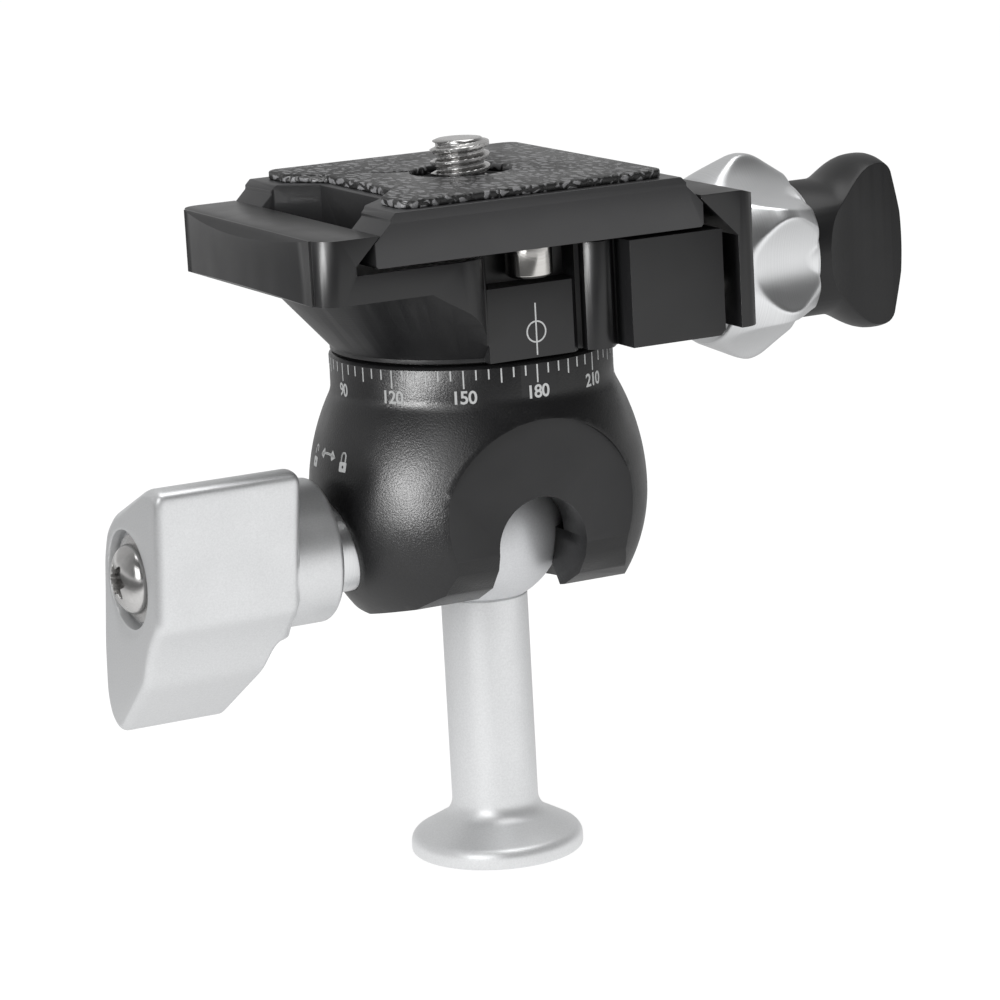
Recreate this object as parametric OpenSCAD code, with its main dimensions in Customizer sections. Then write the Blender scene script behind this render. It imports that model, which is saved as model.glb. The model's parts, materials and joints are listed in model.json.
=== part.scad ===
// Inverted tripod ball head: a flared foot and stem carry the ball, and the housing that grips the ball
// carries a panning quick release clamp with its plate. Millimetres, +Z up, origin at the foot's base
// on the stem's axis, -Y at the front where the index mark and the drop notch are.

/* [Foot and stem] */
// Diameter of the foot
foot_d = 18.8; // [17:0.2:26]
// Height of the foot's straight rim
foot_rim_h = 1.5; // [1:0.1:3]
// Slope of the foot's cone above the horizontal
foot_slope = 29; // [20:1:35]
// Diameter of the stem
stem_d = 9.4; // [9:0.1:9.8]
// Height of the stem's shoulder above the base
stem_h = 28.75; // [24:0.25:45]
// Diameter of the stud on which the ball is pressed
stud_d = 4.9; // [4:0.1:6]
// Length of that stud
stud_len = 8; // [5:0.5:10]
// Diameter of the 1/4 inch thread in the base
thread_d = 6.35; // [6:0.05:6.5]
// Length of the threaded insert in the base
insert_len = 10; // [6:0.5:14]
// Wall of the threaded insert
insert_wall = 0.6; // [0.5:0.05:0.8]

/* [Housing] */
// Wall of the cap that sits on top of the ball
cup_wall = 1.3; // [0.8:0.1:1.3]
// Diameter of the housing at its widest ring
belly_d = 36.4; // [35:0.2:39]
// Clearance of the stem on each side of the drop notch
notch_gap = 0.45; // [0.3:0.05:0.6]

/* [Ball lock] */
// Diameter of the collar between the housing and the lever
collar_d = 10; // [9:0.1:12]
// Length of the collar that shows between them
collar_show = 1.3; // [1:0.1:3]
// Diameter of the lock's threaded spindle
spindle_d = 5; // [4:0.1:5.2]
// Length of the lever along its axis
lever_len = 21.4; // [20:0.2:24]
// Diameter of the lever's round hub
lever_hub_d = 15.4; // [14:0.2:16]
// Reach of the lever's tail below its axis
lever_reach = 18.3; // [16:0.1:22]
// Width of the lever's head across its flat sides
lever_w = 14.8; // [14.5:0.1:16]
// Diameter of the lever screw's thread
lever_screw_d = 4; // [3:0.1:4]

/* [Clamp] */
// Gap between the housing and the turning clamp
pan_gap = 0.4; // [0.3:0.05:0.6]
// Height of the knobs' axis above the clamp's lower face
knob_rise = 4.8; // [4.6:0.05:4.9]
// Height of the channel's floor above the clamp's lower face
floor_rise = 11.3; // [11.1:0.1:12.5]
// Thickness of the movable jaw
jaw_t = 2; // [1.8:0.1:2.6]
// Travel of the movable jaw
jaw_travel = 4; // [3:0.25:4]
// Diameter of the hollow jaw screw
jaw_screw_d = 8; // [7:0.1:8]
// Diameter of the pan lock's spindle
pan_spindle_d = 4.4; // [4:0.1:4.6]
// Diameter of the ring knob
ring_d = 23; // [22:0.1:24]
// Number of scoops in the ring knob
scoops = 6; // [6:1:8]
// Diameter of the wing knob
wing_d = 19.6; // [19:0.1:21]
// Diameter of the wing knob's neck
wing_neck_d = 15.2; // [13:0.1:15.4]

/* [Plate] */
// Width of the plate across the dovetail
plate_w = 38; // [37.5:0.1:38]
// Thickness of the plate
plate_t = 5.5; // [5.3:0.1:6]
// Length of the plate, and of the clamp under it
plate_len = 36; // [34:0.5:40]
// Thickness of the rubber pad above the plate
rubber_t = 0.9; // [0.6:0.1:1.2]
// Height of the camera screw above the rubber pad
camera_screw_h = 3.4; // [3:0.1:6]
// Diameter of the stop pin
stop_pin_d = 4.9; // [4:0.1:5]
// Depth to which the stop pin hangs below the plate
stop_pin_h = 3.3; // [2.5:0.1:3.3]

/* [Hidden] */
$fn = 96;
fit = 0.05;
over = 1;
edge = 0.3;
hex_sides = 6;
half_turn = 180;

// Foot and stem
foot_r = foot_d / 2;
stem_r = stem_d / 2;
foot_edge = 0.3;
foot_round = 1.5;
stem_fillet = 1.5;
thread_r = thread_d / 2;
insert_r = thread_r + insert_wall;
stud_r = stud_d / 2;

// Housing, from its widest ring
belly_r = belly_d / 2;
ball_share = 0.4945;
ball_r = belly_r * ball_share;
flat_r = stem_r + fit;
ball_drop = sqrt(ball_r * ball_r - flat_r * flat_r);
ball_z = stem_h + ball_drop;
belly_rise_share = 0.198;
belly_z = ball_z + belly_r * belly_rise_share;
shoulder_share = 1.374;
shoulder_r = belly_r * shoulder_share;
neck_share = 0.8324;
neck_r = belly_r * neck_share;
neck_fillet_share = 0.165;
neck_fillet = belly_r * neck_fillet_share;
top_rise_share = 1.0824;
top_rise = belly_r * top_rise_share;
housing_top = ball_z + top_rise;
rim_drop_share = 0.44;
rim_z = ball_z - belly_r * rim_drop_share;
rim_round = 1;

// Round flat face about the drop notch, and the facets below it, in shares of the widest ring's radius
spot_r_share = 0.6236;
spot_r = belly_r * spot_r_share;
spot_y_share = 0.8022;
spot_y = belly_r * spot_y_share;
spot_rise_share = 0.1264;
spot_z = ball_z + belly_r * spot_rise_share;
facet_shares = [[0.8022, -0.022], [0.779, -0.108], [0.6868, -0.2308], [0.4945, -0.3324]];
notch_r = stem_r + notch_gap;

// Cap on the ball and the hub above it
seat_gap = 0.15;
seat_r = ball_r + seat_gap;
cup_r = seat_r + cup_wall;
cup_rim_share = 0.785;
cup_rim = ball_r * cup_rim_share;
hub_cup_r = cup_r + seat_gap;
hub_wall = 0.1;
hub_r = hub_cup_r + hub_wall;
hub_floor = notch_r + hub_wall;
well_r = hub_r + fit;
seat_low_share = 0.461;
seat_low = ball_r * seat_low_share;
mouth_share = 1.1667;
mouth_r = ball_r * mouth_share;

// Ball lock
pad_share = 0.4222;
pad_r = ball_r * pad_share;
pad_len_share = 1.4444;
pad_back = ball_r * pad_len_share;
lock_lift = 0.45;
pad_bore = pad_back + lock_lift;
collar_in = pad_bore + fit;
collar_r = collar_d / 2;
lever_in = belly_r + collar_show + 2 * fit;
collar_out = belly_r + collar_show;
lever_out = lever_in + lever_len;
spindle_r = spindle_d / 2;
spindle_in = pad_back + fit;
spline_r = 4;
spline_depth = 5;
spline_end = lever_out - spline_depth;
lever_hub_r = lever_hub_d / 2;
hub_chamfer = 0.6;
hub_len = 5.2;
head_in = lever_in + hub_len;
spline_start = lever_in + hub_chamfer;
lever_tilt = 8;
lever_rise = 11.7;
lever_side_share = 0.5405;
lever_side = lever_w * lever_side_share;
lever_bevel = 1.2;
lever_back = lever_w - lever_side;
lever_shoulder_share = 0.1757;
lever_scoop_r = 15.5;
lever_scoop_side = 11.3;
lever_scoop_drop = 14;
lever_scoop_turn = [137, 168];
lever_tail_shares = [[-0.108, -0.9333], [-0.162, -0.989], [-0.243, -1], [-0.358, -0.956], [-0.426, -0.845]];
lever_spine_shares = [[-1, -0.546], [-1, 0.0355], [-0.882, 0.3077], [-0.588, 0.5043]];
slant_start = 1.6;
slant_run = 3.4;
slant_fillet = 1.2;
slant_fillet_shares = [[-1, 0], [-0.3, 0.22], [0.25, 0.9]];
slant_inset = 0.1;
recess_r = 5.2;
recess_depth = 1.5;
washer_r = 4.7;
washer_t = 0.6;
lever_screw_r = lever_screw_d / 2;
lever_head_r = 3.7;
lever_head_h = 2.3;
lever_screw_len = 14;
dome_steps = 8;
dome_turn = 80;
torx_r = 1.9;
torx_w = 1.5;
torx_depth = 1.3;

// Clamp
clamp_z = housing_top + pan_gap;
axis_z = clamp_z + knob_rise;
floor_z = clamp_z + floor_rise;
half_len = plate_len / 2;
plate_r = plate_w / 2;
cone_inset = 0.15;
cone_r = neck_r - cone_inset;
cone_land = 0.4;
cone_flare = 8;
floor_t = 2.9;
plate_low = floor_z - floor_t;
wall_over = 2.2;
wall_x = plate_r + wall_over;
wall_end_x = wall_x - 2 * fit;
fixed_jaw_t = 3.8;
jaw_out_x = wall_x + fixed_jaw_t;
jaw_crown = 1.3;
jaw_corner = 2.2;
jaw_bevel = 1;
jaw_rise = 3.75;
jaw_top = floor_z + jaw_rise;
boss_share = 0.5333;
boss_r = cone_r * boss_share;
retainer_t = 2.5;
retainer_drop = 0.5;
boss_top = floor_z - retainer_t - retainer_drop;
retainer_lift = 0.7;
well_floor = boss_top - retainer_lift;
stop_pin_r = stop_pin_d / 2;
stop_pin_set = 3.5;
stop_pin_y = half_len - stop_pin_set;
retainer_lip_share = 0.4938;
retainer_lip = (stop_pin_y - stop_pin_r - boss_r) * retainer_lip_share;
retainer_r = boss_r + retainer_lip;
retainer_gap = 0.2;
spring_washer_t = 0.5;
spring_washer_shares = [0.1, 0.85];
thrust_inset = 1;
thrust_r = cone_r - thrust_inset;
thrust_play = 0.03;
pan_screw_r = 2.5;
pan_screw_len = 14;
pan_head_r = 4.8;
pan_hex_r = 1.75;
pan_hex_depth = 2;
index_set = 2.6;
index_y = half_len - index_set;
index_x0 = -5.5;
index_x1 = 5.2;
index_corner = 0.8;
index_drop = 3.6;
index_top = floor_z - index_drop;
scallop_x = -9.5;
scallop_r = 4;
scallop_turn = [90, 20];
groove_set = 4.2;
groove_y = half_len - groove_set;
groove_x = [0.1, 0.9];
groove_slope = 0.2;
column_set = 1.7;
column_y = half_len - column_set;
column_x = 9.5;
column_r = 1.9;
column_turn = [150, 40];
column_step = 0.3;
column_back = 1.65;
block_x = 10;
block_chamfer = 0.6;

// Movable jaw, its screw and the two knobs
jaw_gap = 2;
jaw_in_x = wall_end_x + jaw_gap;
jaw_bulge = 2.6;
jaw_crest_x = jaw_in_x + jaw_t + jaw_bulge;
jaw_low_drop = 4.3;
jaw_low = axis_z - jaw_low_drop;
jaw_brow = 1.2;
jaw_brow_run = 4;
jaw_play = 0.15;
hook_reach = 5.5;
hook_tip = 0.4;
pin_r = 1.5;
pin_share = 0.6667;
pin_y = half_len * pin_share;
pin_seat = 0.4;
pin_end_x = jaw_in_x + jaw_t - pin_seat;
pin_grip = 6.1;
pin_in = wall_end_x - jaw_travel - pin_grip;
pin_gap = 0.2;
spring_r = 2.5;
spring_gap = 0.1;
spring_wire = 0.5;
spring_depth = 6.9;
spring_in = wall_end_x - spring_depth;
spring_turns = 6;
jaw_screw_r = jaw_screw_d / 2;
jaw_screw_grip = 3.4;
jaw_screw_in = wall_end_x - jaw_travel - jaw_screw_grip;
pan_spindle_r = pan_spindle_d / 2;
plug_len = 2;
plug_x = boss_r + fit;
jaw_washer_t = 0.35;
jaw_washer_w = 2.5;
jaw_washer_gap = 0.1;
ring_gap = 0.1;
ring_in = jaw_crest_x + fit + jaw_washer_t + ring_gap;
ring_rise = 6.3;
ring_belly = ring_in + ring_rise;
ring_len = 11.1;
ring_out = ring_in + ring_len;
ring_r = ring_d / 2;
ring_end_shares = [0.79, 0.752];
ring_in_r = ring_r * ring_end_shares[0];
ring_out_r = ring_r * ring_end_shares[1];
ring_crest = 0.9;
ring_crest_drop = [0.15, 0.3];
scoop_r = 9;
scoop_share = 0.748;
scoop_floor = ring_r * scoop_share;
scoop_slope = 0.2;
ring_well_gap = 0.2;
ring_well_r = wing_neck_d / 2 + ring_well_gap;
ring_well = 4.7;
wing_sink = 0.5;
wing_in = ring_out - wing_sink;
wing_neck_len = 4.7;
wing_neck_end = ring_out + wing_neck_len;
wing_flare = 5.3;
wing_full = wing_neck_end + wing_flare;
wing_side = 0.6;
wing_side_end = wing_full + wing_side;
wing_dome = 2.7;
wing_end = wing_side_end + wing_dome;
wing_round = 1.5;
wing_dome_share = 0.5238;
wave_lead = 0.6;
wave_steps = 10;
wing_r = wing_d / 2;
wing_neck_r = wing_neck_d / 2;
dish_r = 14;
dish_set = 2.1;
dish_x = wing_end - dish_set;
dish_core = 3.8;
dish_y = dish_r + dish_core;
end_screw_r = 1.5;
end_screw_len = 6;
end_head_r = 2.6;
end_head_h = 1.2;
end_head_sink = 0.15;
end_well_gap = 0.2;
end_hex_r = 1.1;

// Plate
plate_gap = 0.4;
plate_z = floor_z + plate_gap;
plate_top = plate_z + plate_t;
land_h = 2.6;
slant = 1.9;
plate_chamfer = 0.6;
rubber_edge = 0.3;
dovetail_sum = plate_r + plate_z + land_h;
clamp_fit = 0.14;
hook_sum = dovetail_sum + clamp_fit;
strap_x = 13;
strap_half = 7.3;
strap_flare_x = 16.8;
strap_flare = 11.1;
strap_out_x = 17.6;
rubber_x = plate_r - slant - plate_chamfer - rubber_edge - over;
rubber_inset = 1;
rubber_corner = 1.6;
rubber_notch = [0.4, 1.2];
camera_r = 3.175;
camera_gap = 0.15;
camera_chamfer = 0.7;
screw_well_r = 5.4;
screw_well_t = 1;
screw_flange_r = 8;
screw_flange_t = 1.6;
screw_flange_rise = 0.9;
screw_flange_gap = 0.3;
screw_flange_room = 0.7;
flange_pocket = screw_flange_rise + screw_flange_t + screw_flange_room;
screw_slot_w = 1.2;
screw_slot_depth = 0.8;
ring_wire = 0.8;
ring_reach = 12.2;
ring_half = 4.4;
pocket_gap = 1.2;
pocket_r = ring_reach + pocket_gap;
pocket_depth = 1.3;
web_top = plate_top - screw_well_t;
waist_r = 2.6;
waist_over = 0.6;
waist_end = web_top + waist_over;
stop_shank_step = 0.9;
stop_shank_r = stop_pin_r - stop_shank_step;
stop_shank_len = 2.8;
stop_shank_gap = 0.2;
clip_t = 0.4;
clip_gap = 0.5;

// Points on an arc about (x, y) from angle a to angle b
function arc(x, y, r, a, b, n = 12) =
    [for (i = [0 : n]) [x + r * cos(a + (b - a) * i / n), y + r * sin(a + (b - a) * i / n)]];

// A cylinder along +X between two places
module rod(x0, x1, r) {
    translate([x0, 0, 0]) rotate([0, 90, 0]) cylinder(r = r, h = x1 - x0);
}

// A solid of revolution about the X axis from (x, r) points
module turned_x(points) {
    rotate([0, 90, 0]) rotate_extrude() polygon([for (p = points) [p[1], p[0]]]);
}

// An (x, z) outline extruded along Y, centred
module profile_y(points, length) {
    rotate([90, 0, 0]) linear_extrude(length, center = true) polygon(points);
}

module stem() {
    normal = 90 - foot_slope;
    cone_r0 = foot_r - foot_round + foot_round * cos(normal);
    cone_z0 = foot_rim_h + foot_round * sin(normal);
    fillet_r = stem_r + stem_fillet - stem_fillet * cos(normal);
    fillet_z = cone_z0 + (cone_r0 - fillet_r) * tan(foot_slope) + stem_fillet * sin(normal);
    color("silver") difference() {
        rotate_extrude() polygon(concat(
            [[0, 0], [foot_r - foot_edge, 0], [foot_r, foot_edge]],
            arc(foot_r - foot_round, foot_rim_h, foot_round, 0, normal, 8),
            arc(stem_r + stem_fillet, fillet_z, stem_fillet, half_turn + normal, half_turn, 8),
            [[stem_r, stem_h - edge], [stem_r - edge, stem_h], [stud_r, stem_h],
                [stud_r, stem_h + stud_len - edge], [stud_r - edge, stem_h + stud_len],
                [0, stem_h + stud_len]]));
        translate([0, 0, -over]) cylinder(r = insert_r, h = insert_len + over);
    }
}

module thread_insert() {
    color("dimgray") difference() {
        cylinder(r = insert_r, h = insert_len);
        translate([0, 0, -over]) cylinder(r = thread_r, h = insert_len + 2 * over);
    }
}

module ball() {
    color("gainsboro") translate([0, 0, ball_z]) difference() {
        sphere(ball_r);
        translate([0, 0, -ball_drop - ball_r]) cylinder(r = ball_r, h = ball_r);
        translate([0, 0, -ball_drop - over]) cylinder(r = stud_r + fit, h = stud_len + over + edge);
    }
}

module ball_cup() {
    color("ivory") translate([0, 0, ball_z]) difference() {
        sphere(cup_r);
        sphere(seat_r);
        translate([0, 0, cup_rim - 2 * cup_r]) cylinder(r = cup_r + over, h = 2 * cup_r);
    }
}

// Outline of the housing: the lower rim, the belly, the shoulder and the neck
function housing_outline() =
    let (low = rim_z - belly_z,
        rim_angle = asin((low + rim_round) / (belly_r - rim_round)),
        rim_r = (belly_r - rim_round) * cos(rim_angle),
        shoulder_x = belly_r - shoulder_r,
        fillet_x = neck_r + neck_fillet,
        fillet_rise = sqrt(pow(shoulder_r + neck_fillet, 2) - pow(fillet_x - shoulder_x, 2)),
        join = atan2(fillet_rise, fillet_x - shoulder_x))
    concat([[0, rim_z]],
        arc(rim_r, rim_z + rim_round, rim_round, -90, rim_angle, 6),
        arc(0, belly_z, belly_r, rim_angle, 0, 14),
        arc(shoulder_x, belly_z, shoulder_r, 0, join, 16),
        arc(fillet_x, belly_z + fillet_rise, neck_fillet, half_turn + join, half_turn, 5),
        [[neck_r, housing_top - edge], [neck_r - edge, housing_top], [0, housing_top]]);

// What the front facets remove, as an outline in (y, z) drawn with y forwards
function facet_outline() =
    concat([[belly_d, spot_z], [spot_y, spot_z]],
        [for (p = facet_shares) [belly_r * p[0], ball_z + belly_r * p[1]]],
        [[0, rim_z], [0, rim_z - over], [belly_d, rim_z - over]]);

module housing() {
    color([0.09, 0.09, 0.095]) difference() {
        rotate_extrude() polygon(housing_outline());
        translate([0, 0, ball_z]) sphere(seat_r);
        translate([0, 0, ball_z]) cylinder(r = well_r, h = top_rise + over);
        rotate_extrude() polygon([[0, ball_z],
            [sqrt(seat_r * seat_r - seat_low * seat_low), ball_z - seat_low],
            [mouth_r, rim_z], [mouth_r, rim_z - over], [0, rim_z - over]]);
        // round flat face and the facets below it
        translate([0, -spot_y, spot_z]) rotate([90, 0, 0]) cylinder(r = spot_r, h = belly_r);
        rotate([90, 0, -90]) linear_extrude(belly_d + 2 * over, center = true) polygon(facet_outline());
        // drop notch
        translate([0, 0, ball_z]) rotate([90, 0, 0]) cylinder(r = notch_r, h = belly_d);
        translate([-notch_r, -belly_d, rim_z - over]) cube([2 * notch_r, belly_d, ball_z - rim_z + over]);
        // brake pad's bore and the collar's seat
        translate([0, 0, ball_z]) rod(-pad_bore, 0, pad_r + fit);
        translate([0, 0, ball_z]) rod(-belly_r - over, -pad_bore, collar_r + fit);
    }
}

module pan_hub() {
    color("silver") difference() {
        union() {
            translate([0, 0, ball_z + hub_floor]) cylinder(r = hub_r, h = top_rise - hub_floor);
            translate([0, 0, housing_top - over]) cylinder(r = boss_r, h = boss_top - housing_top + over);
        }
        translate([0, 0, ball_z]) sphere(hub_cup_r);
        translate([0, 0, boss_top - pan_screw_len + retainer_t])
            cylinder(r = pan_screw_r + fit, h = pan_screw_len);
    }
}

module lock_collar() {
    color("silver") translate([0, 0, ball_z]) difference() {
        rod(-collar_out, -collar_in, collar_r);
        rod(-collar_out - over, -collar_in + over, spindle_r + fit);
    }
}

module brake_pad() {
    color("ivory") translate([0, 0, ball_z]) difference() {
        rod(-pad_back, 0, pad_r);
        sphere(ball_r + fit);
    }
}

module lock_spindle() {
    color("gray") translate([0, 0, ball_z]) difference() {
        union() {
            rod(-spline_start - over, -spindle_in, spindle_r);
            rod(-spline_end, -spline_start, spline_r);
        }
        rod(-spline_end - over, -spline_end + lever_screw_len - 2 * over, lever_screw_r + fit);
    }
}

// End outline of the lever, in (side, height) from its axis
function lever_outline() =
    concat([[lever_side - lever_bevel, lever_rise], [lever_side, lever_rise - 2 * lever_bevel],
            [lever_side, -lever_w * lever_shoulder_share]],
        arc(lever_side + lever_scoop_side, -lever_scoop_drop, lever_scoop_r,
            lever_scoop_turn[0], lever_scoop_turn[1], 8),
        [for (p = lever_tail_shares) [lever_w * p[0], lever_reach * p[1]]],
        [for (p = lever_spine_shares)
            [lever_back * p[0], p[1] < 0 ? lever_reach * p[1] : lever_rise * p[1]]],
        [[lever_side - 2 * lever_bevel, lever_rise]]);

module lock_lever() {
    low = -lever_hub_r + slant_inset;
    slant_x = -head_in - slant_start;
    color("silver") translate([0, 0, ball_z]) rotate([lever_tilt, 0, 0]) difference() {
        union() {
            turned_x([[-head_in - over, 0], [-head_in - over, lever_hub_r],
                [-lever_in - hub_chamfer, lever_hub_r], [-lever_in, lever_hub_r - hub_chamfer],
                [-lever_in, 0]]);
            difference() {
                translate([-lever_out, 0, 0]) rotate([90, 0, 90]) linear_extrude(lever_out - head_in)
                    polygon([for (p = lever_outline()) [-p[0], p[1]]]);
                profile_y(concat([[-head_in + over, low]],
                    [for (p = slant_fillet_shares)
                        [slant_x - slant_fillet * p[0], low - slant_fillet * p[1]]],
                    [[slant_x - slant_run, -lever_reach - over], [-head_in + over, -lever_reach - over]]),
                    2 * (lever_w + lever_reach));
            }
        }
        rod(-spline_end - fit, -lever_in + over, spline_r + fit);
        rod(-lever_out - over, -spline_end, lever_screw_r + fit);
        rod(-lever_out - over, -lever_out + recess_depth, recess_r);
    }
}

module lever_washer() {
    color("gainsboro") translate([-lever_out + recess_depth - washer_t, 0, ball_z]) difference() {
        rod(0, washer_t, washer_r);
        rod(-over, washer_t + over, lever_screw_r + fit);
    }
}

module lever_screw() {
    seat = -lever_out + recess_depth - washer_t;
    color("gainsboro") translate([0, 0, ball_z]) difference() {
        union() {
            rod(seat, seat + lever_screw_len, lever_screw_r);
            turned_x(concat([[seat, 0]],
                [for (i = [0 : dome_steps]) let (a = dome_turn * i / dome_steps)
                    [seat - lever_head_h * sin(a), lever_head_r * cos(a)]],
                [[seat - lever_head_h * sin(dome_turn), 0]]));
        }
        translate([seat - lever_head_h - over, 0, 0]) rotate([0, 90, 0]) linear_extrude(torx_depth + over)
            for (i = [0 : 2]) rotate(half_turn * i / 3) square([2 * torx_r, torx_w], center = true);
    }
}

module thrust_washer() {
    color("white") translate([0, 0, housing_top + thrust_play]) difference() {
        cylinder(r = thrust_r, h = pan_gap - 2 * thrust_play);
        translate([0, 0, -over]) cylinder(r = boss_r + 2 * fit, h = pan_gap + 2 * over);
    }
}

// Plan of the clamp's front edge, with y forwards: flat, scallop, index boss, column and block
function clamp_edge() =
    concat([[-wall_x - over, half_len], [scallop_x, half_len]],
        arc(scallop_x, half_len - scallop_r, scallop_r, scallop_turn[0], scallop_turn[1], 6),
        [[index_x0, index_y], [index_x1 - index_corner, index_y], [index_x1, index_y - index_corner]],
        [[index_x1 + groove_x[0], groove_y], [index_x1 + groove_x[1], groove_y + groove_slope]],
        arc(column_x - column_r, column_y - column_r, column_r, column_turn[0], column_turn[1], 6),
        [[column_x + column_step, column_y - column_back], [block_x, column_y - column_back],
            [block_x, half_len], [wall_end_x, half_len]]);

module clamp_plan() {
    for (s = [-1, 1])
        polygon(concat([[-wall_x - over, 0]], [for (p = clamp_edge()) [p[0], s * p[1]]], [[wall_end_x, 0]]));
}

// The fixed jaw's plan: rounded corners and a crowned outer face
module fixed_jaw_plan() {
    crown_r = (half_len * half_len + jaw_crown * jaw_crown) / (2 * jaw_crown);
    inner = -wall_x + jaw_corner + over;
    intersection() {
        translate([-jaw_out_x - jaw_crown + crown_r, 0]) circle(crown_r, $fn = 360);
        union() {
            translate([-jaw_out_x - jaw_crown, -half_len + jaw_corner])
                square([jaw_out_x + jaw_crown + inner, plate_len - 2 * jaw_corner]);
            translate([-jaw_out_x + jaw_corner, -half_len])
                square([jaw_out_x - jaw_corner + inner, plate_len]);
            for (s = [-1, 1])
                translate([-jaw_out_x + jaw_corner, s * (half_len - jaw_corner)]) circle(jaw_corner);
        }
    }
}

module clamp_body() {
    crest = -jaw_out_x - jaw_crown;
    color([0.06, 0.06, 0.065]) difference() {
        union() {
            // turned cone under the plate
            intersection() {
                rotate_extrude() polygon([[0, clamp_z], [cone_r, clamp_z], [cone_r, clamp_z + cone_land],
                    [cone_r + cone_flare, plate_low + over], [0, plate_low + over]]);
                translate([0, 0, clamp_z]) linear_extrude(floor_rise) clamp_plan();
                translate([-wall_x, -half_len, clamp_z]) cube([wall_x + wall_end_x, plate_len, floor_rise]);
            }
            // base plate with the channel's floor
            translate([0, 0, plate_low]) linear_extrude(floor_t) clamp_plan();
            // the boss, column and block stand full height
            intersection() {
                translate([0, 0, clamp_z]) linear_extrude(floor_rise) clamp_plan();
                union() {
                    translate([index_x0, -half_len, clamp_z])
                        cube([index_x1 - index_x0, half_len + cone_r, floor_rise]);
                    profile_y([[index_x1, clamp_z], [wall_end_x - block_chamfer, clamp_z],
                        [wall_end_x, clamp_z + block_chamfer], [wall_end_x, floor_z], [index_x1, floor_z]],
                        plate_len);
                }
            }
            // fixed jaw
            intersection() {
                translate([0, 0, plate_low]) linear_extrude(jaw_top - plate_low) fixed_jaw_plan();
                profile_y([[-wall_x + over, plate_low], [crest + jaw_bevel, plate_low],
                    [crest, plate_low + block_chamfer], [crest, jaw_top - jaw_bevel],
                    [crest + jaw_bevel, jaw_top], [jaw_top - hook_sum, jaw_top],
                    [-wall_x, hook_sum - wall_x], [-wall_x, floor_z - over], [-wall_x + over, floor_z - over]],
                    plate_len);
            }
        }
        // bore for the boss and the well for its retainer
        translate([0, 0, clamp_z - over]) cylinder(r = boss_r + fit, h = floor_rise);
        translate([0, 0, well_floor]) cylinder(r = retainer_r + retainer_gap, h = floor_rise);
        // slot for the stop pin above the index boss
        translate([index_x0, -half_len - over, index_top])
            cube([index_x1 - index_x0, half_len - stop_pin_y + stop_pin_r + fit + over, floor_rise]);
        // bores for the plug, the spindle and the jaw screw
        translate([0, 0, axis_z]) rod(0, jaw_screw_in, pan_spindle_r + fit);
        translate([0, 0, axis_z]) rod(jaw_screw_in - pin_gap, wall_end_x + over, jaw_screw_r + fit);
        // guide pins and their springs
        for (s = [-1, 1]) translate([0, s * pin_y, axis_z]) {
            rod(pin_in - pin_gap, wall_end_x + over, pin_r + fit);
            rod(spring_in, wall_end_x + over, spring_r + spring_gap);
        }
    }
}

module spring_washer() {
    color("silver") translate([0, 0, well_floor + fit]) difference() {
        cylinder(r = boss_r + retainer_lip * spring_washer_shares[1], h = spring_washer_t);
        translate([0, 0, -over])
            cylinder(r = boss_r + retainer_lip * spring_washer_shares[0], h = spring_washer_t + 2 * over);
    }
}

module pan_retainer() {
    sink = pan_head_r - pan_screw_r;
    color("silver") translate([0, 0, boss_top]) difference() {
        cylinder(r = retainer_r, h = retainer_t);
        translate([0, 0, -over]) cylinder(r = pan_screw_r + fit, h = retainer_t + 2 * over);
        translate([0, 0, retainer_t - sink])
            rotate_extrude() polygon([[0, 0], [pan_screw_r + fit, 0], [pan_head_r + fit, sink],
                [pan_head_r + fit, over + sink], [0, over + sink]]);
    }
}

module pan_screw() {
    top = boss_top + retainer_t;
    neck = pan_head_r - pan_screw_r;
    color("dimgray") difference() {
        rotate_extrude() polygon([[0, top - pan_screw_len + over], [pan_screw_r, top - pan_screw_len + over],
            [pan_screw_r, top - neck], [pan_head_r, top], [0, top]]);
        translate([0, 0, top - pan_hex_depth])
            cylinder(r = pan_hex_r, h = pan_hex_depth + over, $fn = hex_sides);
    }
}

module movable_jaw_plan() {
    crown_r = (half_len * half_len + jaw_bulge * jaw_bulge) / (2 * jaw_bulge);
    hook_x = jaw_in_x - hook_reach;
    corner_y = half_len - jaw_corner;
    corner_x = jaw_crest_x - corner_y * corner_y / (2 * crown_r) - jaw_corner;
    intersection() {
        translate([jaw_crest_x - crown_r, 0]) circle(crown_r, $fn = 360);
        union() {
            translate([hook_x, -corner_y]) square([jaw_crest_x - hook_x, 2 * corner_y]);
            translate([hook_x, -half_len]) square([corner_x - hook_x, plate_len]);
            for (s = [-1, 1]) translate([corner_x, s * corner_y]) circle(jaw_corner);
        }
    }
}

module clamp_jaw() {
    tip_x = hook_sum - jaw_top + hook_tip;
    color([0.05, 0.05, 0.055]) difference() {
        intersection() {
            translate([0, 0, jaw_low]) linear_extrude(jaw_top - jaw_low) movable_jaw_plan();
            profile_y([[jaw_in_x, jaw_low], [jaw_crest_x, jaw_low], [jaw_crest_x, jaw_top - jaw_brow],
                [jaw_crest_x - jaw_brow_run, jaw_top], [tip_x, jaw_top], [tip_x, jaw_top - hook_tip],
                [jaw_in_x, hook_sum - jaw_in_x]], plate_len);
        }
        translate([0, 0, axis_z]) rod(jaw_in_x - over, jaw_crest_x + over, jaw_screw_r + jaw_play);
        for (s = [-1, 1]) translate([0, s * pin_y, axis_z]) rod(jaw_in_x - over, pin_end_x, pin_r);
    }
}

module guide_pins() {
    color("silver") for (s = [-1, 1]) translate([0, s * pin_y, axis_z]) rod(pin_in, pin_end_x, pin_r);
}

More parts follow.
